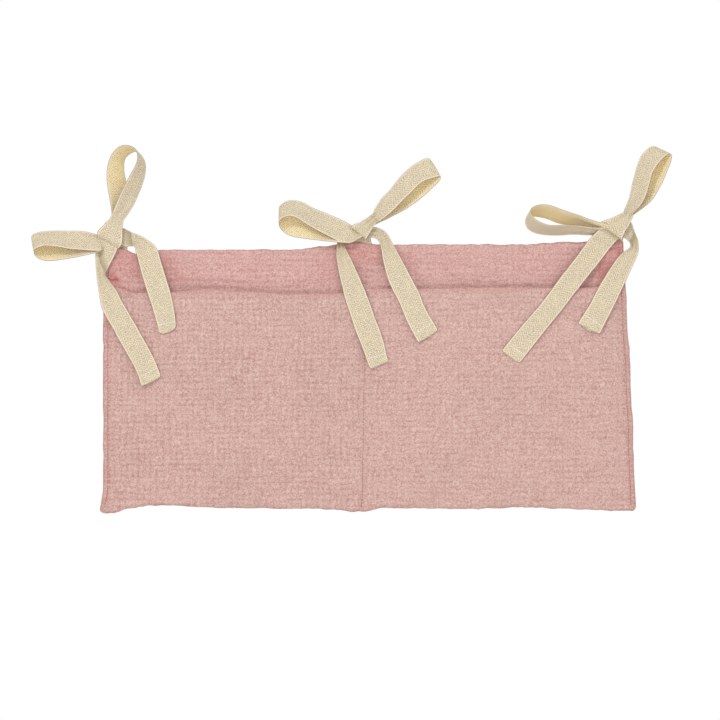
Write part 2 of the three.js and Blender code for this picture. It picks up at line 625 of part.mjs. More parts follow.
// A tail's stations, from its hinge line down over the front of the pocket.
function tailStations(bow, tail) {
  const { at } = bowPlaces(bow);
  const [right, up] = tail.hingeShares;
  const hinge = at(right, up, HINGE_DEPTH);
  const lean = degToRad(tail.lean);
  const run = new THREE.Vector3(Math.sin(lean), 0, -Math.cos(lean));
  const across = new THREE.Vector3(Math.cos(lean), 0, Math.sin(lean));
  const overThread = tail.crossesSeam ? THREAD_DIAMETER + LAYER_GAP : 0;
  return resample(tail.routeShares, TAIL_COUNT).map(([along, sideways, wide]) => {
    const half = wide * HALF_TAPE;
    const centre = hinge.clone().addScaledVector(run, lerp(HINGE_GAP, tail.length, along));
    centre.addScaledVector(across, sideways * TAPE_WIDTH);
    const touching = [-half, 0, half].map((offset) => {
      const point = centre.clone().addScaledVector(across, offset);
      return pocketFaceDepth(point.x, point.z);
    });
    const resting = Math.max(...touching) + REST_GAP + overThread + TAPE_THICKNESS / 2;
    const mouth = mouthZ(clamp(acrossAt(centre.x, 0), 0, 1)) + half + CREST_ROOM;
    const risen = smooth(hinge.z - centre.z, 0, Math.max(hinge.z - mouth, REST_GAP));
    centre.y = -lerp(HINGE_DEPTH, resting, risen);
    return { centre, across, half };
  });
}

// The line of stitches that holds a tail's turned end.
function hemThread(bow, tail) {
  const [before, end] = tailStations(bow, tail).slice(-2);
  const centre = end.centre.clone().lerp(before.centre, TAIL_HEM / end.centre.distanceTo(before.centre));
  centre.y -= TAPE_THICKNESS / 2 + THREAD_SEAT;
  const reach = end.half - THREAD_DIAMETER;
  const points = [-reach, 0, reach].map((offset) => centre.clone().addScaledVector(end.across, offset));
  return thread(points, 2);
}

for (const [name, bow] of Object.entries(BOWS)) {
  const clearOfKnot = knot(bow, LAYER_GAP);
  place(`${name}_tie_root`, tieRoot(bow), TAPE);
  place(`${name}_knot`, toGeometry(knot(bow, 0)), TAPE);
  for (const side of ['left', 'right']) {
    place(`${name}_${side}_loop`, toGeometry(loop(bow, bow.loops[side]).subtract(clearOfKnot)), TAPE);
    place(`${name}_${side}_tail`, tape(tailStations(bow, bow.tails[side]), TAPE_THICKNESS), TAPE);
    place(`${name}_${side}_tail_stitching`, hemThread(bow, bow.tails[side]), TAPE_THREAD);
  }
}

export default root;
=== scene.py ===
"""Looks of the hanging muslin caddy: crinkled cloth, sewn seams and herringbone tape bows."""

import json

import bpy
import numpy as np
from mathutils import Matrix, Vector


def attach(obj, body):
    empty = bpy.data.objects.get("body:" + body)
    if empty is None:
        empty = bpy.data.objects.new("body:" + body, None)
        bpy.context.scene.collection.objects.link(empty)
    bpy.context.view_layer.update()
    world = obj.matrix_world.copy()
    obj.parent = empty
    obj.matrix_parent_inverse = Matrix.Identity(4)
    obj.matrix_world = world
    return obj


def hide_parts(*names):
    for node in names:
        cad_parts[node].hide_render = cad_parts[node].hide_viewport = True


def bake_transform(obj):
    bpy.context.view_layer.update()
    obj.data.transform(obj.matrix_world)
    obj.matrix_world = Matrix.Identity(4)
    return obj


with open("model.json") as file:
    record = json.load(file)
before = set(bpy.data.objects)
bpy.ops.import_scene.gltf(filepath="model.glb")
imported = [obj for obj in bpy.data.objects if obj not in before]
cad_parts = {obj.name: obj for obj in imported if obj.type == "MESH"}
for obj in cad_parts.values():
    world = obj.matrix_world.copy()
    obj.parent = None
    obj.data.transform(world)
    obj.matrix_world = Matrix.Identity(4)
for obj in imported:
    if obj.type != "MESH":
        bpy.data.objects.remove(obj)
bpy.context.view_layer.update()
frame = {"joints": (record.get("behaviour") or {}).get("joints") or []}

MM = 0.001

# The photograph's scale and the place of its pixels in the object's frame, in millimetres
MM_PER_PIXEL = 1.111
ORIGIN_PIXEL = (366.0, 248.0)
IMAGE_CENTRE = (360.0, 360.0)
CAMERA_AWAY = 3000.0
PHOTO_SPAN = 800.0
SENSOR = 36.0

# The cloth body, as in the CAD
PANEL_WIDTH = 590.0
PANEL_HEIGHT = 288.0
MOUTH_DROP = 46.6
CLOTH = 1.4
LAYER_GAP = 0.3
POCKET_GAPE = 13.0
HEM_WAVE_DEPTH = 3.0
HEM_WAVES = 4
HEM_START = 0.84
SEAM_INSET = 5.5
LINING_SEAT = CLOTH + LAYER_GAP
LINING_FACE = LINING_SEAT + CLOTH
POCKET_SEAT = LINING_FACE + LAYER_GAP
POCKET_THICKNESS = 2 * CLOTH + LAYER_GAP
SEAM_SHARE = SEAM_INSET / PANEL_WIDTH

# The tape and the bows, as in the CAD
TAPE_WIDTH = 24.5
TAPE_PIXELS = 22.05
TAPE = 1.2
SEAM_HOLD = 12.0
ROOT_RISE = 11.0
ROOT_LIFT = 2 * TAPE + LAYER_GAP
ROOT_ROOM = TAPE_WIDTH / 2 + 2.0
ROOT_RAMP = 12.0
ROOT_BEHIND = 4.8
STRAND_GAP = 0.05
CREST_ROOM = 2.0
KNOT_DEPTH = LINING_FACE + ROOT_LIFT + LAYER_GAP + 4.5
HINGE_DEPTH = 8.4
REST_GAP = 0.6
TAIL_HEM = 12.0

# The cloths' rows and surface: lengths in millimetres, and shares
CLOTH_STEP = 1.5
BACK_STEP = 1.6
POCKET_BACK_ROWS = 42
FOLD_ROWS = 6
FOLD_SHARE = 0.008
STRIP_ROWS = 42
STRIP_SHARE = 0.215
HIDDEN_ROWS = 36
HIDDEN_NARROWER = 0.008
HIDDEN_RAISED = 2.5
CORNER = 5.0
POCKET_RIM = 4.0
RIM = 3.0
EDGE_FADE = 3.0
EDGE_SHADE_WIDTH = 0.9
INNER_INSET = 0.8
SEAM_FLATTENS = 0.75
RELIEF = 0.5
CELL_WIDE = 6.8
CELL_HIGH = 6.2
DRAWN_LINE = 0.2
LATTICE = 256

# The ribbons and the stitches: lengths in millimetres, and shares
TAPE_STEP = 1.5
TAIL_STEP = 0.9
STEPS_BETWEEN_ROWS = 24
TAPE_COLUMNS = 14
TAIL_COLUMNS = 30
EDGE_CROWDING = 0.92
HEM_THICKER = 0.85
HEM_THREAD = 1.5
BOUNCE_LIGHT_FADE = 25
TUCK = 0.6
NECK_SHARE = 0.22
NECK_TILT = 1.08
STITCH_PITCH = 3.2
SEAM_GAP = 0.22
HEM_GAP = 0.12
STITCH_SIDES = 6
STITCH_SHARES = (0.0, 0.08, 0.25, 0.5, 0.75, 0.92, 1.0)
FRAYS = 26

# The patterns and the stage: lengths in metres, and the light of the unseen room
BUMP_HEIGHT = 0.0003
WEAVE_LENGTH = 0.0008
TWILL_LENGTH = 0.0029
TWILL_COLUMN = 0.0061
TWIST_LENGTH = 0.0007
FLOOR_REACH = 1.2
FLOOR_LEVEL = -0.72
CLIP_END = 50
ROOM_LIGHT = 0.77
LAMP_TARGET = (0, 0, -0.12)

# The body's outline, as shares of its sizes at shares of its width or height
LEFT_EDGE = [(0, 0.985), (0.25, 0.989), (0.9, 0.989), (1, 1.003)]
RIGHT_EDGE = [(0, 0.969), (0.25, 0.981), (0.5, 0.996), (0.75, 1.006), (1, 1.015)]
TOP_EDGE = [
    (0, 0), (0.03, 0.007), (0.06, -0.02), (0.11, -0.008), (0.37, -0.006), (0.43, 0.008), (0.48, 0.026), (0.53, 0.013),
    (0.8, 0.014), (0.89, 0.022), (1, 0.033),
]
BOTTOM_EDGE = [
    (0, 1.022), (0.025, 1.022), (0.055, 1.003), (0.1, 0.992), (0.25, 1.003), (0.4, 1.005), (0.49, 1.018),
    (0.53, 1.003), (0.7, 1.006), (0.79, 0.999), (0.87, 1.006), (1, 1.014),
]
MOUTH = [
    (0, 0.9), (0.02, 0.93), (0.06, 1.07), (0.13, 1.05), (0.2, 0.99), (0.28, 1.05), (0.36, 1.11), (0.45, 1.08),
    (0.5, 0.97), (0.57, 0.98), (0.76, 0.95), (0.91, 0.95), (1, 0.88),
]
DIVIDER = [(0, 0.499), (1, 0.488)]
GAPE = [(0, 0.82), (0.3, 1), (0.72, 0.72), (1, 0)]

# Each bow: its tie's place as a share of half the panel, and its knot's pixel. Each loop: the neck's width as a
# share of the tape's, and its edges in tape widths from the knot (near edge, far edge, how far forward). The wrap's
# and the shoulders' rows are both edges in pixels and a depth, and a tail's run is both edges in pixels. A crease
# is a line through pixels, the side of it that sinks back (1 for its upper or right side) and how far.
LEFT_BOW = {
    "tie": -0.94,
    "knot": (109.5, 233),
    "left_loop": (0.85, [
        (-0.32, -0.74, -0.32, -0.16, -0.14), (-0.48, -0.82, -0.48, -0.09, 0.02), (-1.16, -0.78, -1.16, 0.08, 0.2),
        (-1.84, -0.73, -1.84, 0.1, 0.32), (-2.47, -0.62, -2.47, 0.11, 0.42), (-3.02, -0.6, -3.06, 0.07, 0.45),
        (-3.38, -0.74, -3.47, -0.06, 0.36), (-3.43, -0.91, -3.54, -0.2, 0.22), (-3.31, -1.11, -3.44, -0.3, 0.1),
        (-2.93, -1.26, -3, -0.36, 0.05), (-2.34, -1.24, -2.38, -0.34, 0.04), (-1.61, -1.12, -1.66, -0.32, 0),
        (-0.98, -0.98, -0.98, -0.3, -0.05), (-0.48, -0.88, -0.48, -0.28, -0.07), (-0.28, -0.76, -0.28, -0.34, -0.15),
    ]),
    "right_loop": (0.6, [
        (0.14, 0.95, 0.79, 0.77, 0.15), (0.34, 1.45, 1.11, 1.27, 0.22), (0.61, 2.04, 1.38, 1.9, 0.3),
        (0.93, 2.63, 1.59, 2.49, 0.38), (1.2, 3.13, 1.66, 3.04, 0.42), (1.26, 3.49, 1.5, 3.45, 0.42),
        (1.16, 3.83, 1.2, 3.68, 0.38), (0.82, 4, 0.95, 3.59, 0.3), (0.41, 3.92, 0.75, 3.42, 0.2),
        (0.05, 3.49, 0.67, 3.15, 0.1), (-0.13, 2.86, 0.68, 2.77, 0.03), (-0.11, 2.18, 0.75, 2.31, -0.03),
        (-0.01, 1.59, 0.75, 1.77, -0.06), (0.07, 1.04, 0.61, 1.18, -0.08), (0.11, 0.54, 0.48, 0.63, -0.06),
        (0.04, 0.1, 0.5, 0.22, -0.02),
    ]),
    "wrap": [
        (110.6, 218, 121.6, 222.4, 12.6), (108, 221, 121, 226, 9), (105, 223, 122, 231, 6.4),
        (100.5, 231, 121.5, 240, 6.2), (98.6, 236.5, 118.5, 248, 8.6), (97.2, 234.8, 119.8, 247.6, 12.6),
        (97.6, 231.4, 122, 244, 14.6), (102.5, 226, 122.6, 235, 15.2), (108.5, 219.8, 122.8, 226.2, 15.2),
        (111.2, 215.6, 123.8, 220.2, 14.8),
    ],
    "left_tail": {
        "over_thread": 0.9,
        "creases": [([(95.5, 240), (97.2, 250), (99.8, 262), (105.8, 275)], 1, 1.6)],
        "shoulder": [
            (101, 228, 120, 238, 9.8), (98, 236, 118.5, 247, 10.4), (95.4, 246, 114, 257, 10.2),
            (95.2, 255, 109, 267, 9.6),
        ],
        "run": [
            (95.6, 264, 105.5, 274), (96.6, 276.5, 108.5, 279.5), (98.2, 288, 113.6, 286.5),
            (99.9, 299.5, 118.4, 293.5), (102.8, 311, 122.8, 302.5), (113.3, 329.5, 133.5, 320.5),
            (118, 338.5, 138.5, 329.5), (134.6, 368, 153.8, 357.6), (141.6, 387, 161.3, 377),
        ],
    },
    "right_tail": {
        "round_end": 5.0,
        "creases": [([(122.5, 224), (127, 227.5), (130.6, 233), (133, 247)], -1, 1.1)],
        "shoulder": [
            (118, 241, 118, 228, 8.2), (124, 246.5, 124, 228.5, 8.2), (130, 246.4, 131, 232, 8.6),
            (134.2, 247, 142, 236.4, 9), (135.6, 251.5, 152, 243, 8.8),
        ],
        "run": [
            (137.2, 257, 157.8, 250.4), (140, 268.5, 161.5, 262.5), (143.5, 280.5, 165.2, 274.5),
            (147, 292, 169, 287), (150.8, 303.5, 172.5, 300), (154.6, 316, 174.8, 313), (158.2, 329, 176, 325),
            (159.4, 335, 174.4, 331),
        ],
    },
}
MIDDLE_BOW = {
    "tie": -0.02,
    "knot": (363, 229),
    "left_loop": (0.85, [
        (0.1, -0.28, 0.27, 0.2, -0.12), (-0.2, -0.44, 0.05, 0.15, -0.08), (-0.62, -0.64, -0.27, 0.05, 0.06),
        (-1.18, -0.52, -0.91, 0.39, 0.15), (-1.86, -0.18, -1.59, 0.68, 0.25), (-2.49, 0.16, -2.27, 0.96, 0.36),
        (-2.99, 0.49, -2.86, 1.26, 0.45), (-3.36, 0.59, -3.36, 1.3, 0.45), (-3.7, 0.45, -3.71, 1.12, 0.36),
        (-3.81, 0.2, -3.8, 0.98, 0.23), (-3.72, -0.02, -3.74, 0.88, 0.12), (-3.4, -0.26, -3.44, 0.76, 0.05),
        (-2.86, -0.41, -2.82, 0.56, 0.02), (-2.18, -0.5, -2.14, 0.34, 0.02), (-1.45, -0.59, -1.45, 0.08, 0),
        (-0.63, -0.63, -0.59, -0.1, -0.08), (-0.2, -0.5, -0.1, -0.08, -0.1),
    ]),
    "right_loop": (0.6, [
        (0.77, 0.36, 0.5, 0.82, 0.15), (1.27, 0.75, 0.82, 1.36, 0.22), (1.77, 1.25, 1.22, 1.79, 0.3),
        (2.22, 1.69, 1.68, 2.36, 0.36), (2.65, 2.1, 2.18, 2.83, 0.38), (3.08, 2.28, 2.63, 3.11, 0.34),
        (3.4, 2.36, 2.95, 3.22, 0.27), (3.52, 2.38, 3.06, 3.11, 0.17), (3.47, 2.18, 3.04, 2.9, 0.07),
        (3.08, 1.79, 2.63, 2.54, 0), (2.59, 1.36, 2.09, 2.09, -0.03), (1.95, 0.91, 1.5, 1.54, -0.06),
        (1.22, 0.52, 0.91, 1.04, -0.1), (0.5, 0.18, 0.27, 0.59, -0.06), (0.12, -0.08, -0.14, 0.3, -0.02),
    ]),
    "wrap": [
        (374.6, 223.4, 370, 217.8, 12.6), (372, 227, 364, 221, 9), (371, 230, 360, 222.6, 6.4),
        (368.5, 234.5, 354.5, 225, 6.2), (367, 239, 352.4, 227.6, 8.6), (366.6, 239, 351.4, 226.8, 12.6),
        (368.4, 235.4, 355.4, 223.8, 14.6), (371.8, 230, 362, 222, 15.2), (374.6, 225.4, 368.4, 218.4, 15.2),
        (377.4, 222, 373.2, 214.6, 14.8),
    ],
    "left_tail": {
        "creases": [([(334, 243.5), (340, 241.8), (348, 241.4), (354, 239)], -1, 0.8)],
        "shoulder": [
            (352, 229, 358, 238, 10.6), (345, 231, 352, 240, 11), (339, 236.5, 346.5, 241.5, 10.8),
            (336.8, 243.5, 343.6, 243, 10),
        ],
        "run": [
            (336.5, 250, 344.6, 246.4), (336.3, 257, 347.6, 252.6), (337.6, 265.5, 352, 261.2),
            (340.8, 281.5, 359, 276), (345.8, 302, 366.4, 293.4), (350, 314.5, 371.2, 306), (354, 327, 375.6, 318.5),
            (358.5, 339, 380.2, 330.4), (363, 350, 384.3, 343.5), (367.6, 363, 387.4, 356.6),
            (370.6, 369.6, 388.2, 361.6),
        ],
    },
    "right_tail": {
        "shoulder": [
            (366, 237, 368, 227, 8.4), (371, 237.5, 375, 227, 8.6), (376, 239, 382.4, 229.4, 9),
            (379.2, 242.5, 388, 234.5, 9),
        ],
        "run": [
            (380.8, 247, 393, 243.6), (382.2, 256, 398, 252.6), (384.2, 266, 403.4, 262.6),
            (387.9, 279.6, 408.6, 272.4), (393.2, 291.8, 414, 282.5), (398.9, 302, 419.3, 292.5),
            (405.2, 317.8, 425.4, 307.8), (411.5, 331, 432.2, 319.6), (416.8, 340.6, 436.8, 327.4),
            (418.6, 342.8, 438.2, 331),
        ],
    },
}
RIGHT_BOW = {
    "tie": 0.925,
    "knot": (616, 228),
    "left_loop": (0.6, [
        (-0.1, 0, -0.2, -0.4, -0.1), (-0.45, 0.05, -0.59, -0.4, -0.08), (-1.09, 0.05, -1.18, -0.32, 0),
        (-1.81, 0.13, -1.86, -0.29, 0.14), (-2.54, 0.13, -2.54, -0.33, 0.24), (-3.08, 0.14, -3.13, -0.33, 0.35),
        (-3.51, 0.32, -3.67, -0.23, 0.42), (-3.76, 0.54, -4.01, -0.02, 0.42), (-3.86, 0.75, -4.11, 0.29, 0.36),
        (-3.79, 0.94, -4.01, 0.52, 0.26), (-3.45, 1.07, -3.7, 0.51, 0.17), (-2.99, 1.04, -3.17, 0.42, 0.1),
        (-2.4, 0.82, -2.54, 0.18, 0.06), (-1.72, 0.59, -1.77, 0.07, 0.05), (-1.09, 0.36, -1.09, -0.09, 0.04),
        (-0.45, 0.18, -0.45, -0.27, 0.03), (-0.1, 0.08, -0.1, -0.3, 0),
    ]),
    "right_loop": (0.6, [
        (0.82, 0.68, 0.36, 0.77, 0.14), (1.16, 1.07, 0.57, 1.32, 0.2), (1.38, 1.5, 0.7, 1.86, 0.28),
        (1.52, 1.97, 0.82, 2.34, 0.35), (1.68, 2.52, 0.95, 2.83, 0.4), (1.95, 2.95, 1.18, 3.33, 0.42),
        (2.27, 3.27, 1.47, 3.63, 0.37), (2.48, 3.36, 1.7, 3.71, 0.27), (2.54, 3.15, 1.9, 3.56, 0.16),
        (2.34, 2.59, 1.72, 3.04, 0.08), (2.02, 1.9, 1.38, 2.36, 0.02), (1.61, 1.25, 1.04, 1.68, -0.03),
        (1.13, 0.84, 0.66, 1.13, -0.07), (0.63, 0.45, 0.23, 0.63, -0.05), (0.26, 0.08, -0.1, 0.34, -0.02),
    ]),
    "wrap": [
        (630, 219.4, 619.4, 215.2, 12.6), (628, 222, 614, 217, 9), (628, 226, 610, 219, 6.4),
        (625, 233, 603, 222, 6.2), (623, 239.4, 601, 224.6, 8.6), (622.6, 238.8, 600, 223, 13.4),
        (625.8, 231, 604.4, 220.2, 15), (629, 226, 611.2, 217.9, 15.2), (631.2, 220.8, 617.6, 215, 15.2),
        (633.4, 216, 623.6, 211.8, 14.8),
    ],
    "left_tail": {
        "creases": [([(598, 220.5), (603.5, 225), (611, 230.4), (622.5, 239)], -1, 1.2)],
        "shoulder": [(607, 223, 622.6, 235, 9.6), (598.6, 229.5, 615.5, 242, 12.4)],
        "run": [
            (590, 238.4, 608.6, 250), (583, 247.4, 602, 259), (573.8, 260, 591.8, 271.6), (559.8, 278, 577.2, 290.2),
            (541.3, 303, 559.4, 313.4), (522.8, 324.4, 541, 336), (507, 343.8, 525.8, 355.8),
            (501.5, 351, 519.2, 363.6),
        ],
    },
    "right_tail": {
        "frayed": True,
        "creases": [([(630.5, 218), (633.6, 227), (632.6, 236), (629, 243)], 1, 1)],
        "shoulder": [
            (615, 232, 622, 222.4, 9.4), (621, 234, 630.4, 221.6, 8.2), (624.6, 238, 634.2, 230, 8.2),
            (630, 243, 638, 240, 8.8),
        ],
        "run": [
            (629.2, 247.6, 639, 247.4), (623.4, 252, 638, 254.4), (616.5, 259, 634, 263.4), (609, 270, 628.4, 275.8),
            (602.6, 280.4, 622, 289.4), (596, 292, 615.4, 303.6), (590.3, 303, 609.6, 315), (583.8, 313.3, 604, 326),
            (577.4, 323.8, 599.8, 334.6),
        ],
    },
}
BOWS = {"left_bow": LEFT_BOW, "middle_bow": MIDDLE_BOW, "right_bow": RIGHT_BOW}

# Soft folds in the cloth around the ties, in pixels: from, to, width and rise in millimetres
LINING_FOLDS = [
    (106, 280, 124, 279, 3, 1), (112, 284, 134, 287, 3, -0.9), (122, 270, 133, 277, 5, 0.6),
    (168, 272, 182, 271, 3.5, 0.7), (166, 262, 178, 264, 3, -0.6), (172, 280, 250, 283, 3.5, 0.6),
    (190, 271, 300, 268, 3.5, 0.45), (240, 259, 336, 256, 4, 0.4), (364, 260, 384, 262, 4, 0.7),
    (360, 272, 388, 276, 3, -0.5), (404, 266, 520, 262, 4, 0.45), (420, 278, 560, 279, 3.5, 0.55),
    (600, 262, 612, 254, 3, 0.6), (628, 268, 622, 276, 3.5, 0.6),
]
# Gathers at the ties, with the same columns: grooves that painted shade also darkens and reddens.
GATHERS = [
    (105, 282.5, 121, 280, 1.3, -1.7), (106, 275, 120, 279.5, 1.2, -1.2), (108, 287, 136, 293, 1, -0.8),
    (108, 279.5, 116, 272, 1.1, -0.9), (360, 257, 378, 258.5, 1.1, -0.6), (352, 268, 376, 272, 1.2, -0.5),
    (408, 263, 436, 266, 1.2, -0.5), (628, 262, 634, 268, 1.1, -0.4), (168, 283, 186, 279, 1.2, -0.6),
    (440, 271, 500, 269, 1.2, -0.35),
]
POCKET_FOLDS = [
    (113, 292, 135, 298, 4, 0.7), (170, 298, 300, 297.5, 3, 0.45), (392, 297, 560, 295.5, 3, 0.45),
    (104, 306, 112, 318, 5, 0.6), (340, 300, 346, 330, 5, 0.5), (600, 340, 628, 352, 7, 0.5),
    (104, 470, 124, 500, 8, 0.8), (352, 480, 361, 506, 6, 0.7), (366, 470, 372, 506, 6, 0.7),
    (604, 480, 630, 504, 8, 0.7),
]

# Where painted reddish shade deepens the cloth's colour at the ties, in pixels: place, and then reach across, reach
# up and strength
RED_SHADE_SPOTS = [
    (112, 279, 12, 8, 1), (126, 262, 22, 24, 0.5), (168, 262, 12, 22, 0.4), (178, 278, 16, 9, 0.4),
    (352, 250, 14, 12, 0.7), (366, 252, 20, 16, 0.5), (396, 262, 12, 18, 0.35), (618, 250, 14, 18, 0.8),
    (606, 268, 20, 22, 0.75), (628, 286, 12, 16, 0.4), (328, 268, 10, 20, 0.3), (588, 262, 14, 16, 0.3),
]


def ease(value, low, high):
    """Eases from 0 to 1 while the value goes from low to high."""
    t = np.clip((value - low) / (high - low), 0, 1)
    return t * t * (3 - 2 * t)


def lerp(a, b, t):
    return a + (b - a) * t


def bell(value, wide):
    return np.exp(-((value / wide) ** 2))


def unit(vectors):
    return vectors / np.maximum(np.linalg.norm(vectors, axis=-1, keepdims=True), 1e-9)


def share_at(table, place):
    """Reads a table at a place between its rows, easing from each row to the next."""
    rows, place = np.asarray(table, float), np.asarray(place, float)
    i = np.clip(np.searchsorted(rows[:, 0], place, side="right") - 1, 0, len(rows) - 2)
    return lerp(rows[i, 1], rows[i + 1, 1], ease(place, rows[i, 0], rows[i + 1, 0]))


def noise(x, z, wide, high, seed):
    """Smooth noise from -1 to 1 on a lattice of the given spacing."""
    lattice = np.random.default_rng(seed).uniform(-1, 1, (LATTICE, LATTICE))
    u, v = x / wide, z / high
    iu, iv = np.floor(u).astype(int), np.floor(v).astype(int)
    fu, fv = ease(u - iu, 0, 1), ease(v - iv, 0, 1)
    i0, i1, j0, j1 = iu % LATTICE, (iu + 1) % LATTICE, iv % LATTICE, (iv + 1) % LATTICE
    return lerp(lerp(lattice[i0, j0], lattice[i1, j0], fu), lerp(lattice[i0, j1], lattice[i1, j1], fu), fv)


def from_pixel(px, py):
    return (np.asarray(px) - ORIGIN_PIXEL[0]) * MM_PER_PIXEL, (ORIGIN_PIXEL[1] - np.asarray(py)) * MM_PER_PIXEL


SIGHT_X, SIGHT_Z = from_pixel(*IMAGE_CENTRE)


def at_depth(x, z, depth):
    """Where a point of the photo's plane lies when it stands at a depth towards the camera."""
    share = 1 - depth / CAMERA_AWAY
    return SIGHT_X + (x - SIGHT_X) * share, SIGHT_Z + (z - SIGHT_Z) * share


def in_plane(points):
    """Where points are seen on the photo's plane."""
    share = 1 + points[..., 1] / CAMERA_AWAY
    return SIGHT_X + (points[..., 0] - SIGHT_X) / share, SIGHT_Z + (points[..., 2] - SIGHT_Z) / share


# Outline of the cloth body
def top_z(across):
    return PANEL_HEIGHT * share_at(TOP_EDGE, across)


def bottom_z(across):
    return -PANEL_HEIGHT * share_at(BOTTOM_EDGE, across)


def mouth_z(across):
    return -MOUTH_DROP * share_at(MOUTH, across)


def levels(across):
    return top_z(across), mouth_z(across), bottom_z(across)


def down_at(across, z):
    return (top_z(across) - z) / (top_z(across) - bottom_z(across))


def left_x(down):
    return -PANEL_WIDTH / 2 * share_at(LEFT_EDGE, down)


def right_x(down):
    return PANEL_WIDTH / 2 * share_at(RIGHT_EDGE, down)


def x_at(across, down):
    return lerp(left_x(down), right_x(down), across)


def across_at(x, down):
    return (x - left_x(down)) / (right_x(down) - left_x(down))


def wave_depth(across, down):
    return HEM_WAVE_DEPTH * ease(down, HEM_START, 1) * (1 - np.cos(2 * np.pi * HEM_WAVES * across)) / 2


def gape_depth(across, sunk):
    divider = share_at(DIVIDER, sunk)
    start = np.where(across < divider, SEAM_SHARE, 1 - SEAM_SHARE)
    inside = np.clip((across - start) / (divider - start), 0, 1)
    return POCKET_GAPE * np.sin(np.pi * inside) * share_at(GAPE, sunk)


def tie_x(bow):
    return PANEL_WIDTH / 2 * bow["tie"]


def root_lift(x, below):
    """How far the lining stands forward over the tape ends in the top seam, at a distance below the edge."""
    start = SEAM_HOLD + 2 * CREST_ROOM
    above = 1 - ease(below, start, start + 2 * ROOT_RAMP)
    lifts = [1 - ease(np.abs(x - tie_x(bow)), ROOT_ROOM, ROOT_ROOM + ROOT_RAMP) for bow in BOWS.values()]
    return ROOT_LIFT * above * np.max(lifts, axis=0)


# Surface of the cloth
def segment(x, z, start, end):
    """A line's length, and how far points lie along it and to its upper or right side."""
    (x0, z0), (x1, z1) = start, end
    length = np.hypot(x1 - x0, z1 - z0)
    ux, uz = (x1 - x0) / length, (z1 - z0) / length
    return length, (x - x0) * ux + (z - z0) * uz, (z - z0) * ux - (x - x0) * uz


def folds(x, z, table):
    """The sum of soft ridges along lightly bent lines that fade out at their ends."""
    total = np.zeros_like(x)
    for ax, ay, bx, by, wide, rise in table:
        length, along, aside = segment(x, z, from_pixel(ax, ay), from_pixel(bx, by))
        bend = 0.06 * length * np.sin(np.pi * np.clip(along / length, 0, 1))
        fade = ease(along, -0.1 * length, 0.25 * length) * (1 - ease(along, 0.7 * length, 1.1 * length))
        total = total + rise * fade * bell(aside - bend, wide)
    return total


def crinkle(x, z, seed, upright):
    """Height of the washed double muslin, from about -1 to 1: puffed cells between short drawn-in lines.
    upright is how strong the upright lines are against the level ones."""
    shift_x = 2.2 * noise(x, z, 30, 22, seed) + 0.9 * noise(x, z, 9, 8, seed + 1)
    shift_z = 2.0 * noise(x, z, 34, 18, seed + 2) + 0.8 * noise(x, z, 10, 7, seed + 3)
    u, v = (x + shift_x) / CELL_WIDE, (z + shift_z) / CELL_HIGH
    drawn_u = bell(u - np.round(u), DRAWN_LINE) * np.clip(0.62 + 0.6 * noise(x, z, 9, 11, seed + 5), 0.15, 1)
    drawn_v = bell(v - np.round(v), DRAWN_LINE) * np.clip(0.66 + 0.6 * noise(x, z, 12, 8, seed + 6), 0.15, 1)
    puff = np.sqrt(np.abs(np.sin(np.pi * u)) * np.abs(np.sin(np.pi * v)) + 0.03)
    cell = noise(np.round(u - 0.5) * 7.3, np.round(v - 0.5) * 7.3, 5.1, 5.1, seed + 7)
    fine = 0.55 * noise(x, z, 2.8, 2.6, seed + 8) + 0.5 * noise(x, z, 4.6, 2.4, seed + 9)
    streak = 0.4 * noise(x, z, 2.6, 9, seed + 10) * upright + 0.4 * noise(x, z, 11, 2.8, seed + 11)
    height = puff * (0.6 + 0.4 * cell) - 0.85 * upright * drawn_u - 0.85 * drawn_v + 0.4 * fine + 0.8 * streak
    return np.clip(height, -1.5, 1.5)


def seam_dip(x, centre, z):
    """A seam's groove, drawn in a little more at each stitch."""
    stitch = 0.5 + 0.5 * np.cos(2 * np.pi * z / STITCH_PITCH)
    around = 0.5 + 0.5 * noise(x, z, 9, 3.4, 77)
    return bell(x - centre, 1.9) * (0.75 + 0.25 * stitch) + 0.25 * bell(x - centre, 5.5) * around


def all_seams(x, z, down, divider=0.0):
    """The grooves of both side seams and of the divider's, from 0 to 1."""
    for edge, sign in ((left_x, 1), (right_x, -1)):
        divider = np.maximum(divider, seam_dip(x, edge(down) + sign * SEAM_INSET, z))
    return np.clip(divider, 0, 1)


def crinkled_share(seams, *insides):
    """How much of the crinkle shows: less in the seams, and none at the edges."""
    share = 1 - SEAM_FLATTENS * seams
    for inside in insides:
        share = share * ease(inside, 0, EDGE_FADE)
    return share


def rim_drop(inside, radius):
    """A rounded rim's share of its drop, at a distance inside the edge."""
    t = np.clip(1 - inside / radius, 0, 1)
    return 1 - np.sqrt(1 - t * t)


def red_shade_at(x, z):
    """Painted reddish shade where the cloth is drawn together at the ties."""
    total = np.zeros_like(x)
    for px, py, wide, high, strength in RED_SHADE_SPOTS:
        cx, cz = from_pixel(px, py)
        total = np.maximum(total, strength * bell(x - cx, wide) * bell(z - cz, high))
    return total * (0.75 + 0.25 * noise(x, z, 7, 4, 91))


# Meshes
def add_object(name, data):
    obj = bpy.data.objects.new(name, data)
    bpy.context.scene.collection.objects.link(obj)
    return obj


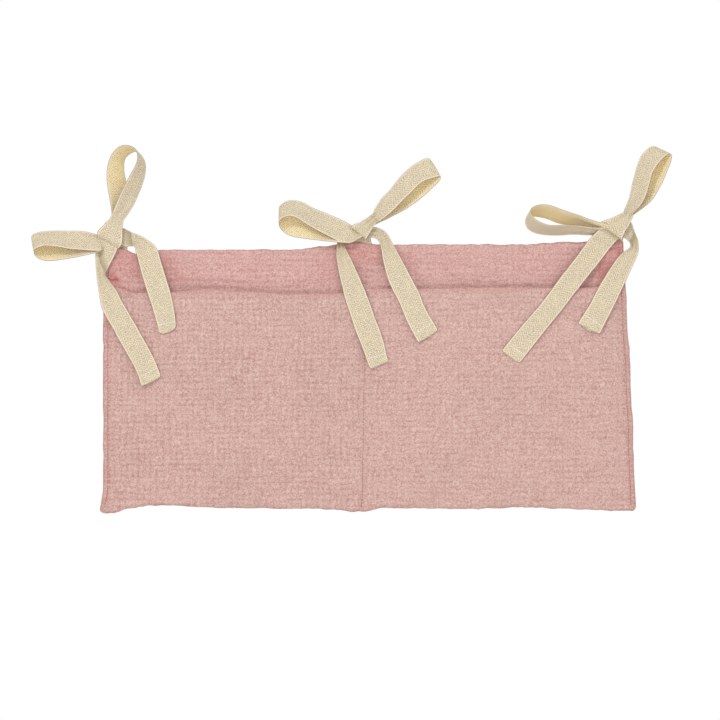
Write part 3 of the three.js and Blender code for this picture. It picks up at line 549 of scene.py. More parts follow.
def make_mesh(name, points, quads, triangles):
    """A closed smooth mesh that faces outward, from points in millimetres."""
    corners = [points[faces] for faces in (quads[:, [0, 1, 2]], quads[:, [0, 2, 3]], triangles)]
    if sum(np.einsum("ij,ij->", c[:, 0], np.cross(c[:, 1], c[:, 2])) for c in corners) < 0:
        quads, triangles = quads[:, ::-1], triangles[:, ::-1]
    mesh = bpy.data.meshes.new(name)
    mesh.vertices.add(len(points))
    mesh.vertices.foreach_set("co", (points * MM).astype(np.float32).ravel())
    loops = np.concatenate([quads.ravel(), triangles.ravel()]).astype(np.int32)
    starts = np.concatenate([np.arange(len(quads)) * 4, 4 * len(quads) + np.arange(len(triangles)) * 3])
    mesh.loops.add(len(loops))
    mesh.loops.foreach_set("vertex_index", loops)
    mesh.polygons.add(len(starts))
    mesh.polygons.foreach_set("loop_start", starts.astype(np.int32))
    mesh.update(calc_edges=True)
    mesh.validate()
    mesh.polygons.foreach_set("use_smooth", np.ones(len(mesh.polygons), bool))
    return add_object(name, mesh)


def attribute(obj, name, values):
    kind, field = ("FLOAT", "value") if values.ndim == 1 else ("FLOAT_VECTOR", "vector")
    layer = obj.data.attributes.new(name, kind, "POINT")
    layer.data.foreach_set(field, values.astype(np.float32).ravel())


def grid_quads(rows, columns, first):
    i, j = np.meshgrid(np.arange(rows), np.arange(columns), indexing="ij")
    a = first + i * (columns + 1) + j
    return np.stack([a, a + 1, a + columns + 2, a + columns + 1], axis=-1).reshape(-1, 4)


def ring_quads(rings, size):
    """Quads between rings of points that are each closed on themselves."""
    i, j = np.meshgrid(np.arange(rings - 1) * size, np.arange(size), indexing="ij")
    after = (j + 1) % size
    return np.stack([i + j, i + after, i + size + after, i + size + j], axis=-1).reshape(-1, 4)


def rim(rows, columns, first):
    """The vertex numbers round a grid's rim, in order."""
    grid = first + np.arange((rows + 1) * (columns + 1)).reshape(rows + 1, columns + 1)
    return np.concatenate([grid[0, :-1], grid[:-1, -1], grid[-1, :0:-1], grid[:0:-1, 0]])


def shell(name, face, inner, height, red_shade_and_tint):
    """Closed cloth: a fine outer face, and an inner face with every third row and column."""
    rows, columns = face.shape[0] - 1, face.shape[1] - 1
    first = face.shape[0] * face.shape[1]
    points = np.concatenate([face.reshape(-1, 3), inner[::3, ::3].reshape(-1, 3)])
    fine, coarse = rim(rows, columns, 0), rim(rows // 3, columns // 3, first)
    k = np.arange(len(coarse))
    fans = [np.stack([coarse, fine[3 * k + s + 1], fine[3 * k + s]], axis=-1) for s in (0, 1)]
    joins = np.stack([coarse, np.roll(coarse, -1), fine[(3 * k + 3) % len(fine)], fine[3 * k + 2]], axis=-1)
    quads = [grid_quads(rows, columns, 0), grid_quads(rows // 3, columns // 3, first)[:, ::-1], joins]
    obj = make_mesh(name, points, np.concatenate(quads), np.concatenate(fans))
    # Both attributes feed the colour: the crinkle values also carry painted shade, and the other carries painted
    # reddish shade and tint.
    for layer, values in (("crinkle", height), ("red_shade_and_tint", red_shade_and_tint)):
        attribute(obj, layer, np.concatenate([values.ravel(), np.zeros(len(points) - first)]))
    return obj


def round_corner(x, z, inside_x, inside_z, sign_x, sign_z):
    """Moves points near a square corner in, so that the corner is round."""
    a = np.clip(1 - inside_x / CORNER, 0, None)
    b = np.clip(1 - inside_z / CORNER, 0, None)
    near = (a > 0) & (b > 0)
    size = np.where(near, np.maximum(a, b) / np.maximum(np.hypot(a, b), 1e-9), 1)
    x = np.where(near, x - sign_x * CORNER * a * (1 - size), x)
    z = np.where(near, z - sign_z * CORNER * b * (1 - size), z)
    return x, z


def body_points(across, z, depth):
    """Points of the cloth body, with its corners rounded and its edge a little uneven."""
    down = down_at(across, z)
    left, right = left_x(down), right_x(down)
    top, _, bottom = levels(across)
    x = lerp(left, right, across)
    for edge, sign_x in ((left, -1), (right, 1)):
        for edge_z, sign_z in ((top, 1), (bottom, -1)):
            x, z = round_corner(x, z, sign_x * (edge - x), sign_z * (edge_z - z), sign_x, sign_z)
    ragged = 0.5 * noise(x, z * 0, 9, 9, 31) + 0.35 * noise(x, z * 0, 4, 9, 32)
    z = z + ragged * (1 - ease(np.minimum(top - z, z - bottom), 0, 9))
    x = x + 0.4 * noise(x * 0, z, 9, 11, 33) * (1 - ease(np.minimum(x - left, right - x), 0, 7))
    return np.stack([x, -(wave_depth(across, down) + depth), z], axis=-1)


# The cloths
def steps_of_three(count):
    return max(3, 3 * int(round(count / 3)))


def cloth_grid(*shares):
    """A grid of places across the cloth, and of each row's shares."""
    across = np.linspace(0, 1, steps_of_three(PANEL_WIDTH / CLOTH_STEP) + 1)[None, :] * np.ones((len(shares[0]), 1))
    return [across] + [share[:, None] * np.ones_like(across) for share in shares]


def sides_inside(across, z):
    """How far points lie inside the nearer side edge."""
    down = down_at(across, z)
    return np.minimum(across, 1 - across) * (right_x(down) - left_x(down))


def pocket_cloth():
    """The pocket's cloth: up its rear layer, over the fold at the mouth and down its front layer."""
    fine_rows = steps_of_three((PANEL_HEIGHT - MOUTH_DROP) / CLOTH_STEP)
    across, sunk, turn = cloth_grid(
        np.concatenate([
            np.linspace(1, FOLD_SHARE, POCKET_BACK_ROWS + 1), np.zeros(FOLD_ROWS - 1),
            np.linspace(FOLD_SHARE, 1, fine_rows + 1),
        ]),
        np.concatenate([
            np.zeros(POCKET_BACK_ROWS + 1), np.linspace(0, np.pi, FOLD_ROWS + 1)[1:-1],
            np.full(fine_rows + 1, np.pi),
        ]),
    )
    side = (1 - np.cos(turn)) / 2
    half = POCKET_THICKNESS / 2
    divider = share_at(DIVIDER, sunk)
    across = np.where(across < 0.5, 2 * across * divider, lerp(divider, 1, 2 * across - 1))
    across = lerp(0.5 + (across - 0.5) * (1 - HIDDEN_NARROWER), across, ease(side, 0, 1))
    _, mouth, bottom = levels(across)
    z = lerp(mouth, bottom, sunk) - half + half * np.sin(turn)
    z = np.maximum(z, bottom + HIDDEN_RAISED * (1 - side))
    x = body_points(across, z, 0)[..., 0]
    down = down_at(across, z)
    inside, low = sides_inside(across, z), z - bottom
    seams = all_seams(x, z, down, seam_dip(x, x_at(divider, down), z))
    height = crinkle(x, z, 11, lerp(0.85, 0.4, ease(x, -40, 60)))
    flat = crinkled_share(seams, inside, low)
    relief = RELIEF * height * flat * ease(mouth - z, 1, 7)
    relief = relief + pocket_swell(x, z) * ease(inside, 2, 14) * ease(low, 2, 14)
    middle = POCKET_SEAT + half + gape_depth(across, sunk)
    depth = middle + lerp(-half - RELIEF / 2 * height * flat, half - 1.1 * seams + relief, side)
    drop = np.clip(rim_drop(inside, POCKET_RIM) + rim_drop(low, POCKET_RIM), 0, 1)
    depth = np.where(side > 0.5, lerp(depth, np.minimum(depth, 2.6), drop), depth)
    face = body_points(across, z, depth)
    deep = middle + (2 * side - 1) * half
    deep = np.where(side > 0.5, lerp(deep - 0.9, 2.2, drop), deep + 0.9)
    folding = (turn > 0) & (turn < np.pi)
    inner_z = np.clip(np.where(folding, z - 1.2, z), bottom + INNER_INSET, None)
    inner = body_points(across, inner_z, np.where(folding, middle, deep))
    # Painted reddish shade at the ties and along the side edges, and a pinker band just under the mouth.
    band = 1 - ease(mouth - z, 3.5, 7.5)
    red_shade_and_tint = 0.6 * red_shade_at(x, z) * ease(z, mouth - 26, mouth)
    red_shade_and_tint = np.maximum(red_shade_and_tint, (0.2 + 0.06 * noise(x, z, 18, 5, 92)) * band)
    red_shade_and_tint = np.maximum(red_shade_and_tint, (0.2 + 0.15 * noise(x, z, 9, 5, 93)) * (1 - ease(inside, 5, 12)))
    # Painted shade along the cloth's edges; the crinkles' colour is calmer in the band under the mouth.
    height = height * (1 - 0.5 * band) - 1.1 * bell(np.minimum(inside, low), EDGE_SHADE_WIDTH)
    return shell("pocket_cloth", face, inner, height * ease(side, 0, 1), red_shade_and_tint)


def lining_cloth():
    """The lining: fine rows above the mouth, and coarse ones where the pocket hides it."""
    across, down = cloth_grid(np.concatenate([
        np.linspace(0, STRIP_SHARE, STRIP_ROWS + 1)[:-1], np.linspace(STRIP_SHARE, 1, HIDDEN_ROWS + 1),
    ]))
    hidden = ease(mouth_z(across) - lerp(top_z(across), bottom_z(across), down), -2, 5)
    across = 0.5 + (across - 0.5) * (1 - HIDDEN_NARROWER * hidden)
    top, mouth, bottom = levels(across)
    z = np.maximum(lerp(top, bottom, down), bottom + HIDDEN_RAISED)
    x = body_points(across, z, 0)[..., 0]
    below, inside = top - z, sides_inside(across, z)
    height = crinkle(x, z, 23, 0.3)
    seams = all_seams(x, z, down)
    near_tie = np.max([bell(x - tie_x(bow), 34) for bow in BOWS.values()], axis=0)
    level = noise(x, z, 24, 3.6, 61) * (0.3 + 0.35 * near_tie)
    relief = RELIEF * height + level + folds(x, z, LINING_FOLDS)
    relief = crinkled_share(seams, below, inside) * relief * (1 - 0.7 * hidden)
    crease = bell(z - mouth - 2.4 - 1.2 * noise(x, z, 30, 60, 63), 1.1) * lerp(1, 0.6, ease(x, 20, 90))
    gathered = -folds(x, z, GATHERS)
    relief = relief - 0.9 * seams - 0.7 * crease - 0.8 * gathered
    swell = 0.3 * gape_depth(across, np.zeros_like(across)) * bell(z - mouth, 24)
    seat = LINING_FACE + root_lift(x, below) + swell
    depth = seat + np.minimum(relief, lerp(1.6, 0.2, hidden))
    drop = np.clip(rim_drop(inside, RIM) * (1 - hidden) + rim_drop(below, RIM), 0, 1)
    depth = lerp(depth, np.minimum(depth, 1.9), drop)
    face = body_points(across, z, depth)
    deep = np.minimum(lerp(seat - 0.95, 1.6, drop), depth - 0.3)
    inner = body_points(across, np.minimum(z, top - INNER_INSET), deep)
    # Painted shade: the colour's relief sinks at the crease above the mouth, in the gathers and along the edges, and
    # painted reddish shade deepens the ties.
    height = height - 0.5 * crease - 1.6 * gathered - 0.9 * bell(np.minimum(inside, below), EDGE_SHADE_WIDTH)
    return shell("lining_cloth", face, inner, height, red_shade_at(x, z))


def back_cloth():
    """The outer back. Its fine face looks backward, so its relief counts the other way."""
    across, down = cloth_grid(np.linspace(0, 1, steps_of_three(PANEL_HEIGHT / BACK_STEP) + 1))
    top, mouth, bottom = levels(across)
    z = lerp(top, bottom, down)
    x = body_points(across, z, 0)[..., 0]
    below, low, inside = top - z, z - bottom, sides_inside(across, z)
    edge = np.minimum(np.minimum(inside, low), below)
    sunk = np.clip((mouth - z) / (mouth - bottom), 0, 1)
    divider = seam_dip(x, x_at(share_at(DIVIDER, sunk), down), z) * ease(sunk, 0, 0.02)
    seams = all_seams(x, z, down, divider)
    height = crinkle(x, z, 37, 0.7)
    forward = 0.45 - crinkled_share(seams, edge) * (RELIEF * height - 0.1) + 0.7 * seams
    rim_depth = lerp(1.3, 2.3, ease(sunk, 0, 0.03))
    drop = np.clip(rim_drop(inside, RIM) + rim_drop(low, RIM) + rim_drop(below, RIM), 0, 1)
    depth = np.minimum(lerp(forward, rim_depth, drop), 2.4)
    face = body_points(across, z, np.maximum(depth, 0))
    deep = np.maximum(lerp(CLOTH, rim_depth, drop), depth + 0.15)
    inner = body_points(across, np.clip(z, bottom + INNER_INSET, top - INNER_INSET), deep)
    # Painted shade along the cloth's edges.
    return shell("back_cloth", face, inner, height - 1.1 * bell(edge, EDGE_SHADE_WIDTH), np.zeros_like(height))


def pocket_swell(x, z):
    """The pocket cloth's soft unevenness, apart from its crinkles."""
    return folds(x, z, POCKET_FOLDS) + 0.7 * noise(x, z, 46, 38, 51)


def pocket_front(x, z):
    """Depth of the pocket cloth's outer face, without its crinkles, at points on the front."""
    across = across_at(x, down_at(across_at(x, 0.5), z))
    level = np.minimum(z, mouth_z(across))
    down = down_at(across, level)
    across = np.clip(across_at(x, down), 0, 1)
    _, mouth, bottom = levels(across)
    sunk = np.clip((mouth - level) / (mouth - bottom), 0, 1)
    smooth_face = wave_depth(across, down) + POCKET_SEAT + gape_depth(across, sunk) + POCKET_THICKNESS
    return smooth_face + pocket_swell(x, level)


# Ribbons
def beside(x, z, line):
    """How far points lie to the upper or right side of a line through pixels, and whether they lie along it."""
    points = [from_pixel(*pixel) for pixel in line]
    best, aside, over = np.full(x.shape, np.inf), np.zeros(x.shape), np.zeros(x.shape)
    for start, end in zip(points, points[1:]):
        length, along, across = segment(x, z, start, end)
        past = np.abs(along - np.clip(along, 0, length))
        far = np.hypot(past, across)
        nearer = far < best
        best, aside, over = (np.where(nearer, *pair) for pair in ((far, best), (across, aside), (past, over)))
    return aside, 1 - ease(over, 0.5, 3)


def resample(rows, count):
    """Smoothly resamples rows of numbers, through every row."""
    place = np.linspace(0, len(rows) - 1, count + 1)
    low = np.minimum(place.astype(int), len(rows) - 2)
    t = (place - low)[:, None]
    value, following = rows[low], rows[low + 1]
    before, after = rows[np.maximum(low - 1, 0)], rows[np.minimum(low + 2, len(rows) - 1)]
    rise = following - value
    start = np.where((low > 0)[:, None], (following - before) / 2, rise / 2)
    end = (after - value) / 2
    return value + t * (start + t * ((3 * rise - 2 * start - end) + t * (start + end - 2 * rise)))


def even_rows(rows, step):
    """Rows of two edge points, evenly spaced along the middle between the edges."""
    dense = resample(np.asarray(rows, float), STEPS_BETWEEN_ROWS * (len(rows) - 1))
    middle = (dense[:, :3] + dense[:, 3:]) / 2
    length = np.concatenate([[0], np.cumsum(np.linalg.norm(np.diff(middle, axis=0), axis=1))])
    spots = np.linspace(0, length[-1], max(4, int(round(length[-1] / step))) + 1)
    return np.stack([np.interp(spots, length, dense[:, k]) for k in range(6)], axis=-1), spots


def round_tape(front, back):
    """Values across a tape's front and then back across its rear."""
    return np.concatenate([front, back[:, -2:0:-1]], axis=1)


def ribbon(
    name, rows, seed, step=TAPE_STEP, hem=0.0, columns=TAPE_COLUMNS, round_end=0.0, bounce_light_from=None, creases=(),
):
    """A length of tape between two edges. Rows hold both edges' points in millimetres. Where the edges are
    nearer than the tape's width, the tape is drawn together in lengthwise pleats."""
    edges, spots = even_rows(rows, step)
    a, b = edges[:, :3], edges[:, 3:]
    middle, across = (a + b) / 2, b - a
    half = np.linalg.norm(across, axis=1, keepdims=True) / 2
    across = unit(across)
    square = unit(np.cross(unit(np.gradient(middle, axis=0)), across))
    for _ in range(2):
        square[1:-1] = (square[:-2] + 2 * square[1:-1] + square[2:]) / 4
        square = unit(square)
    reach = np.pi / 2 * EDGE_CROWDING
    t = np.sin(np.linspace(-reach, reach, columns + 1))[None, :] / np.sin(reach)
    s, total = spots[:, None], spots[-1]
    to_end = total - s
    lack = np.clip(1 - 2 * half / TAPE_WIDTH, 0, 0.7)
    pleats = 1.5 * lack * np.cos(2 * np.pi * (1.05 * t + 0.25 * noise(s, t * 0, 17, 9, seed)))
    pleats = pleats + 0.5 * lack * np.cos(2 * np.pi * (2.3 * t + noise(s, t * 0, 11, 9, seed + 1)))
    sway = 0.28 * noise(s, 12 * t, 15, 14, seed + 2) + 0.12 * noise(s, 12 * t, 6, 8, seed + 3)
    lift = pleats + sway
    uneven = 0.22 * noise(s, np.sign(t) * 40, 7, 9, seed + 4)
    shrink = 1 - 0.5 * np.clip(1 - to_end / round_end, 0, 1) ** 2 if round_end else 1
    wide = (half + uneven * np.abs(t) ** 3) * t * shrink
    centre = middle[:, None] + across[:, None] * wide[..., None] + square[:, None] * lift[..., None]
    # The fold attribute is painted shade along each crease's sunk side.
    fold = np.zeros_like(wide)
    for line, side, sunk in creases:
        aside, within = beside(*in_plane(centre), line)
        near = within * ease(side * aside, -0.4, 0.4)
        centre[..., 1] += sunk * near * (1 - ease(side * aside, 2, 11))
        fold = np.maximum(fold, near * (1 - ease(side * aside, 0.4, 9)))
    thick = TAPE * np.ones_like(s)
    if hem:
        thick = thick * (1 + HEM_THICKER * (1 - ease(to_end, hem - 0.6, hem + 0.6)))
    profile = np.sqrt(np.clip(1 - np.abs(t) ** 6, 0, 1))
    profile[:, [0, -1]] = 0
    ends = np.sqrt(np.clip(np.minimum(s, to_end) / (0.6 * TAPE) + 0.12, 0, 1))
    off = square[:, None] * (profile * thick / 2 * ends)[..., None]
    front = centre + off
    ring = round_tape(front, centre - off)
    count, size = ring.shape[:2]
    c, last = np.arange(1, columns - 1), (count - 1) * size
    cap = np.stack([c, c + 1, size - c - 1, size - c], axis=-1)
    tips = np.array([[0, 1, size - 1], [columns - 1, columns, columns + 1]])
    quads = np.concatenate([ring_quads(count, size), cap[:, ::-1], last + cap])
    obj = make_mesh(name, ring.reshape(-1, 3), quads, np.concatenate([tips[:, ::-1], last + tips]))
    place = np.zeros((count, size, 3))
    place[..., 0] = round_tape(t, t) * TAPE_WIDTH / 2 * MM
    place[..., 1] = s * MM
    # Painted bounce light: a loop's inner face takes the brighter, warmer inner colour, fading in after its start and
    # partly out towards the end.
    if bounce_light_from is not None:
        inward = np.sum(square * (middle.mean(axis=0) - middle), axis=1).mean() > 0
        fading = ease(s, bounce_light_from, bounce_light_from + BOUNCE_LIGHT_FADE) * (1 - 0.6 * ease(s, total - 70, total - BOUNCE_LIGHT_FADE))
        place[..., 2] = fading * ((np.arange(size) <= columns) == inward)
    attribute(obj, "tape_place", place.reshape(-1, 3))
    # Painted shade: the pleat attribute darkens the pleats' hollows.
    attribute(obj, "pleat", round_tape(lift, lift).ravel())
    attribute(obj, "fold", round_tape(fold, fold).ravel())
    return obj, total, front


def edge_row(ax, ay, bx, by, depth, tilt=0.0):
    """A ribbon's row from two pixels and a depth: tilt is how much nearer the first edge stands."""
    near, far = depth + tilt / 2, depth - tilt / 2
    x0, z0 = at_depth(*from_pixel(ax, ay), near)
    x1, z1 = at_depth(*from_pixel(bx, by), far)
    return (x0, -near, z0, x1, -far, z1)


def loop_rows(bow, side):
    """A loop's rows, each tilted so far that the tape has its width. At an end that is tucked into the knot the
    rows lie nearly flat."""
    neck, table = bow[side]
    knot_x, knot_y = bow["knot"]
    joined = side == "right_loop"
    first, last = -1 if joined else 1, len(table) - 2
    rows = []
    for k, (near_right, near_up, far_right, far_up, forward) in enumerate(table):
        from_neck = max(min(k - first, last - k), 0) / (last - max(first, 0))
        wide = TAPE_WIDTH * lerp(neck, 1, ease(from_neck, 0, NECK_SHARE))
        seen = TAPE_WIDTH * np.hypot(far_right - near_right, far_up - near_up)
        if k < first or k > last - joined:
            wide = min(wide, NECK_TILT * seen)
        rows.append(edge_row(
            knot_x + near_right * TAPE_PIXELS, knot_y - near_up * TAPE_PIXELS,
            knot_x + far_right * TAPE_PIXELS, knot_y - far_up * TAPE_PIXELS,
            KNOT_DEPTH + forward * TAPE_WIDTH, np.sqrt(max(wide ** 2 - seen ** 2, 0)),
        ))
    return rows


def tail_rows(tail, hinge_z):
    """The shoulder's rows, then rows that sink from the hinge to rest on the front of the pocket."""
    rows = [edge_row(*row) for row in tail["shoulder"]]
    spread = np.linspace(0, 1, 5)
    for ax, ay, bx, by in tail["run"]:
        (x0, z0), (x1, z1) = from_pixel(ax, ay), from_pixel(bx, by)
        touching = pocket_front(lerp(x0, x1, spread), lerp(z0, z1, spread)).max()
        resting = touching + REST_GAP + tail.get("over_thread", 0.0) + TAPE / 2 + 0.1
        mouth = mouth_z(np.clip(across_at((x0 + x1) / 2, 0.0), 0, 1)) + TAPE_WIDTH / 2 + CREST_ROOM
        sunk = ease(hinge_z - (z0 + z1) / 2, 0, max(hinge_z - mouth, REST_GAP))
        rows.append(edge_row(ax, ay, bx, by, lerp(HINGE_DEPTH + 0.4, resting, sunk)))
    return rows


# Stitches
def capsule(start, end, radius, sag):
    """A stitch: a rounded strand that bows forward from the cloth between its two ends."""
    run = unit(end - start)
    side = unit(np.cross(run, (0, -1, 0)))
    up = np.cross(side, run)
    k = np.arange(STITCH_SIDES)
    after = (k + 1) % STITCH_SIDES
    angles = 2 * np.pi * k[:, None] / STITCH_SIDES
    around = np.cos(angles) * side + np.sin(angles) * up
    rings = []
    for share in STITCH_SHARES:
        fat = radius * np.sqrt(max(1 - abs(2 * share - 1) ** 3, 0.05))
        rings.append(lerp(start, end, share) + up * sag * (4 * share * (1 - share) - TUCK) + fat * around)
    points = np.concatenate(rings + [[start - up * sag * TUCK], [end - up * sag * TUCK]])
    last, tip = (len(rings) - 1) * STITCH_SIDES, np.full(STITCH_SIDES, len(points) - 2)
    ends = [np.stack([tip, after, k], axis=-1), np.stack([tip + 1, last + k, last + after], axis=-1)]
    return points, ring_quads(len(rings), STITCH_SIDES), np.concatenate(ends)


def strands(name, pairs, radius, sag):
    """Short strands between pairs of points, joined into one mesh."""
    points, quads, triangles = zip(*(capsule(*pair, radius, sag) for pair in pairs))
    firsts = len(points[0]) * np.arange(len(points))
    return make_mesh(name, np.concatenate(points), *(
        np.concatenate([faces + first for faces, first in zip(group, firsts)]) for group in (quads, triangles)
    ))


def dashes(lines, gap):
    """Stitches along lines of points, with a gap between each and the next."""
    return [(lerp(a, b, gap / 2), lerp(b, a, gap / 2)) for line in lines for a, b in zip(line[:-1], line[1:])]


def frays(front, seed):
    """Short loose threads at a tape's cut end."""
    random = np.random.default_rng(seed)
    end = front[-1]
    run, across = unit(end.mean(axis=0) - front[-4].mean(axis=0)), unit(end[-1] - end[0])
    pairs = []
    for share in random.uniform(0.04, 0.96, FRAYS):
        root = lerp(end[0], end[-1], share) - run * 0.8 + np.array([0, 0.5, 0])
        pairs.append((root, root + run * random.uniform(1.6, 3.2) + across * random.uniform(-1.1, 1.1)))
    return pairs


def seam_lines(line, from_top):
    """Points a stitch apart along a seam, on the front and on the back."""
    start, end = share_at(line, 0.0), share_at(line, 1.0)
    mouth, bottom = float(mouth_z(start)), float(bottom_z(end)) + 4.0
    zs = np.arange(float(top_z(start)) - 4.0 if from_top else mouth - 2.5, bottom, -STITCH_PITCH)
    across = share_at(line, np.clip((mouth - zs) / (mouth - bottom), 0, 1))
    down = down_at(across, zs)
    x, wave = x_at(across, down), wave_depth(across, down)
    on_pocket = wave + POCKET_SEAT + POCKET_THICKNESS - 1.1
    on_lining = LINING_FACE + root_lift(x, top_z(across) - zs) - 0.8
    depth = lerp(on_lining, on_pocket, ease(mouth + 1.0 - zs, -3.5, 0.5))
    return [np.stack([x, -y, zs], axis=-1) for y in (depth + 0.42, wave + 0.75)]


# Materials
def srgb(*levels_of_255):
    shares = [level / 255 for level in levels_of_255]
    return (*(c / 12.92 if c <= 0.04045 else ((c + 0.055) / 1.055) ** 2.4 for c in shares), 1)


class Nodes:
    """A short way to write the nodes of a material or of the world."""

    def __init__(self, owner):
        owner.use_nodes = True
        self.owner, self.tree = owner, owner.node_tree

    def link(self, value, socket):
        if isinstance(value, bpy.types.NodeSocket):
            self.tree.links.new(value, socket)
        else:
            socket.default_value = value

    def node(self, kind, *values):
        """A new node, with its first inputs linked or set."""
        node = self.tree.nodes.new("ShaderNode" + kind)
        for value, socket in zip(values, node.inputs):
            self.link(value, socket)
        return node

    def math(self, operation, a, b=0.0):
        node = self.node("Math", a, b, 0.0)
        node.operation = operation
        return node.outputs[0]

    def plus(self, a, b):
        return self.math("ADD", a, b)

    def times(self, a, b):
        return self.math("MULTIPLY", a, b)

    def wave(self, value, length):
        return self.math("SINE", self.times(value, 2 * np.pi / length))

    def mix(self, factor, a, b):
        node = self.node("Mix", factor)
        node.data_type = "RGBA"
        self.link(a, node.inputs[6])
        self.link(b, node.inputs[7])
        return node.outputs[2]

    def ramp(self, value, low, high, start=0.0, end=1.0):
        node = self.node("MapRange", value, low, high, start, end)
        node.interpolation_type = "SMOOTHSTEP"
        return node.outputs[0]

    def layers(self, colour, *rows):
        """Colours laid over one another, each as far as a value has come from one limit to another."""
        for value, start, end, strength, other in rows:
            colour = self.mix(self.ramp(value, start, end, 0.0, strength), colour, other)
        return colour

    def attribute(self, name, output="Fac"):
        node = self.node("Attribute")
        node.attribute_name = name
        return node.outputs[output]

    def noise(self, vector, scale, detail=2.0, rough=0.5, stretch=None):
        if stretch:
            scaled = self.node("VectorMath", vector, stretch)
            scaled.operation = "MULTIPLY"
            vector = scaled.outputs[0]
        node = self.node("TexNoise", vector)
        for name, value in (("Scale", scale), ("Detail", detail), ("Roughness", rough)):
            node.inputs[name].default_value = value
        return node.outputs["Fac"]

    def finish(self, colour, roughness, sheen=0.0, tint=(1, 1, 1, 1), height=None, distance=0.0, strength=0.0):
        inputs = self.tree.nodes["Principled BSDF"].inputs
        for name, value in (
            ("Base Color", colour), ("Roughness", roughness), ("Specular IOR Level", 0.15), ("Sheen Weight", sheen),
            ("Sheen Roughness", 0.6), ("Sheen Tint", tint),
        ):
            self.link(value, inputs[name])
        if height:
            node = self.node("Bump")
            for name, value in (("Strength", strength), ("Distance", distance), ("Height", height)):
                self.link(value, node.inputs[name])
            self.link(node.outputs[0], inputs["Normal"])
        return self.owner


def muslin(name, light, tan, deep, red_for_shade_and_tint, pale):
    """Crinkled muslin with a fine loose weave: painted shade makes the drawn-in lines, creases and gathers darker and
    redder, and a painted highlight makes the puffed cells paler.
    """
    n = Nodes(bpy.data.materials.new(name))
    place = n.node("TexCoord").outputs["Object"]
    crinkle_shading = n.attribute("crinkle")
    melange = n.noise(place, 480.0, 3.0, 0.65, (1.0, 0.6, 1.0))
    patches = n.noise(place, 11.0, 3.0, 0.6)
    slubs = [n.noise(place, 900.0, 1.0, 0.6, stretch) for stretch in ((0.5, 0.6, 1.2), (1.2, 0.6, 0.5))]
    grain = n.times(n.plus(*slubs), 0.5)
    across, _, up = n.node("SeparateXYZ", place).outputs
    weave = n.times(n.plus(n.wave(across, WEAVE_LENGTH), n.wave(up, WEAVE_LENGTH)), 0.5)
    colour = n.mix(n.ramp(melange, 0.34, 0.66, 0.1, 0.75), light, tan)
    # Painted shade darkens the crinkles' low places towards the deep colour and a painted highlight lightens their
    # puffs; the patches and the grain are the cloth's own tone.
    colour = n.layers(
        colour, (patches, 0.38, 0.62, 0.45, tan), (crinkle_shading, 0.5, -1.2, 0.52, deep), (grain, 0.5, 0.37, 0.66, deep),
        (grain, 0.5, 0.63, 0.6, pale), (crinkle_shading, 0.35, 1.1, 0.25, pale),
    )
    # Painted reddish shade at the ties and along the side edges, a pinker band under the pocket's mouth, and painted
    # shade in the deepest creases, gathers and edges.
    colour = n.mix(n.times(n.attribute("red_shade_and_tint"), 0.6), colour, red_for_shade_and_tint)
    colour = n.layers(colour, (crinkle_shading, -0.95, -1.9, 0.75, red_for_shade_and_tint), (weave, 0.3, 1.0, 0.1, light))
    height = n.plus(n.times(weave, 0.35), n.noise(place, 620.0, 3.0, 0.65))
    return n.finish(colour, 0.95, sheen=0.05, tint=light, height=height, distance=BUMP_HEIGHT, strength=0.7)


def herringbone(name, pale, mid, shade, inner, fleck_and_edge_shade, gap):
    """Herringbone cotton twill tape, in place across and along the tape, with painted bounce light on the loops'
    inner faces and painted shade in the pleats, along the creases and at the outermost edge.
    """
    n = Nodes(bpy.data.materials.new(name))
    place = n.attribute("tape_place", "Vector")
    across, along, side = n.node("SeparateXYZ", place).outputs
    column = n.math("PINGPONG", n.plus(across, 0.5), TWILL_COLUMN)
    twill = n.wave(n.plus(along, column), TWILL_LENGTH)
    melange = n.noise(place, 420.0, 3.0, 0.7, (1.0, 0.7, 0.0))
    soft = n.noise(place, 60.0, 2.0, 0.6, (1.0, 0.6, 0.0))
    clear = n.ramp(n.noise(place, 240.0, 2.0, 0.6, (1.0, 0.8, 0.0)), 0.36, 0.64, 0.6, 1.0)
    specks = n.noise(place, 780.0, 0.0, 0.5, (1.0, 0.8, 0.0))
    edge = n.math("ABSOLUTE", across)
    colour = n.layers(n.mix(n.ramp(melange, 0.36, 0.6), pale, mid), (soft, 0.45, 0.75, 0.35, inner))
    # Painted bounce light: the loops' inner faces turn a brighter, warmer tan.
    colour = n.mix(n.times(side, 0.95), colour, inner)
    for end, strength, other in ((-0.9, 0.6, shade), (0.9, 0.5, gap)):
        colour = n.mix(n.times(n.ramp(twill, 0.1, end, 0.0, strength), clear), colour, other)
    # Painted shade in the pleats' hollows and at the outermost edge; the specks are the tape's own flecks.
    colour = n.layers(
        colour, (n.attribute("pleat"), -0.2, -1.2, 0.3, shade), (specks, 0.62, 0.78, 0.5, fleck_and_edge_shade),
        (specks, 0.4, 0.26, 0.6, gap), (edge, 0.0103, 0.0108, 0.8, gap), (edge, 0.0115, 0.0118, 0.75, fleck_and_edge_shade),
    )
    # Painted shade along each crease's sunk side.
    colour = n.mix(n.times(n.attribute("fold"), 0.75), colour, shade)
    threads = n.noise(place, 1500.0, 2.0, 0.6, (1.0, 0.35, 1.0))
    height = n.plus(n.times(twill, 0.6), n.times(threads, 0.5))
    return n.finish(colour, 0.9, sheen=0.05, tint=pale, height=height, distance=BUMP_HEIGHT, strength=0.8)


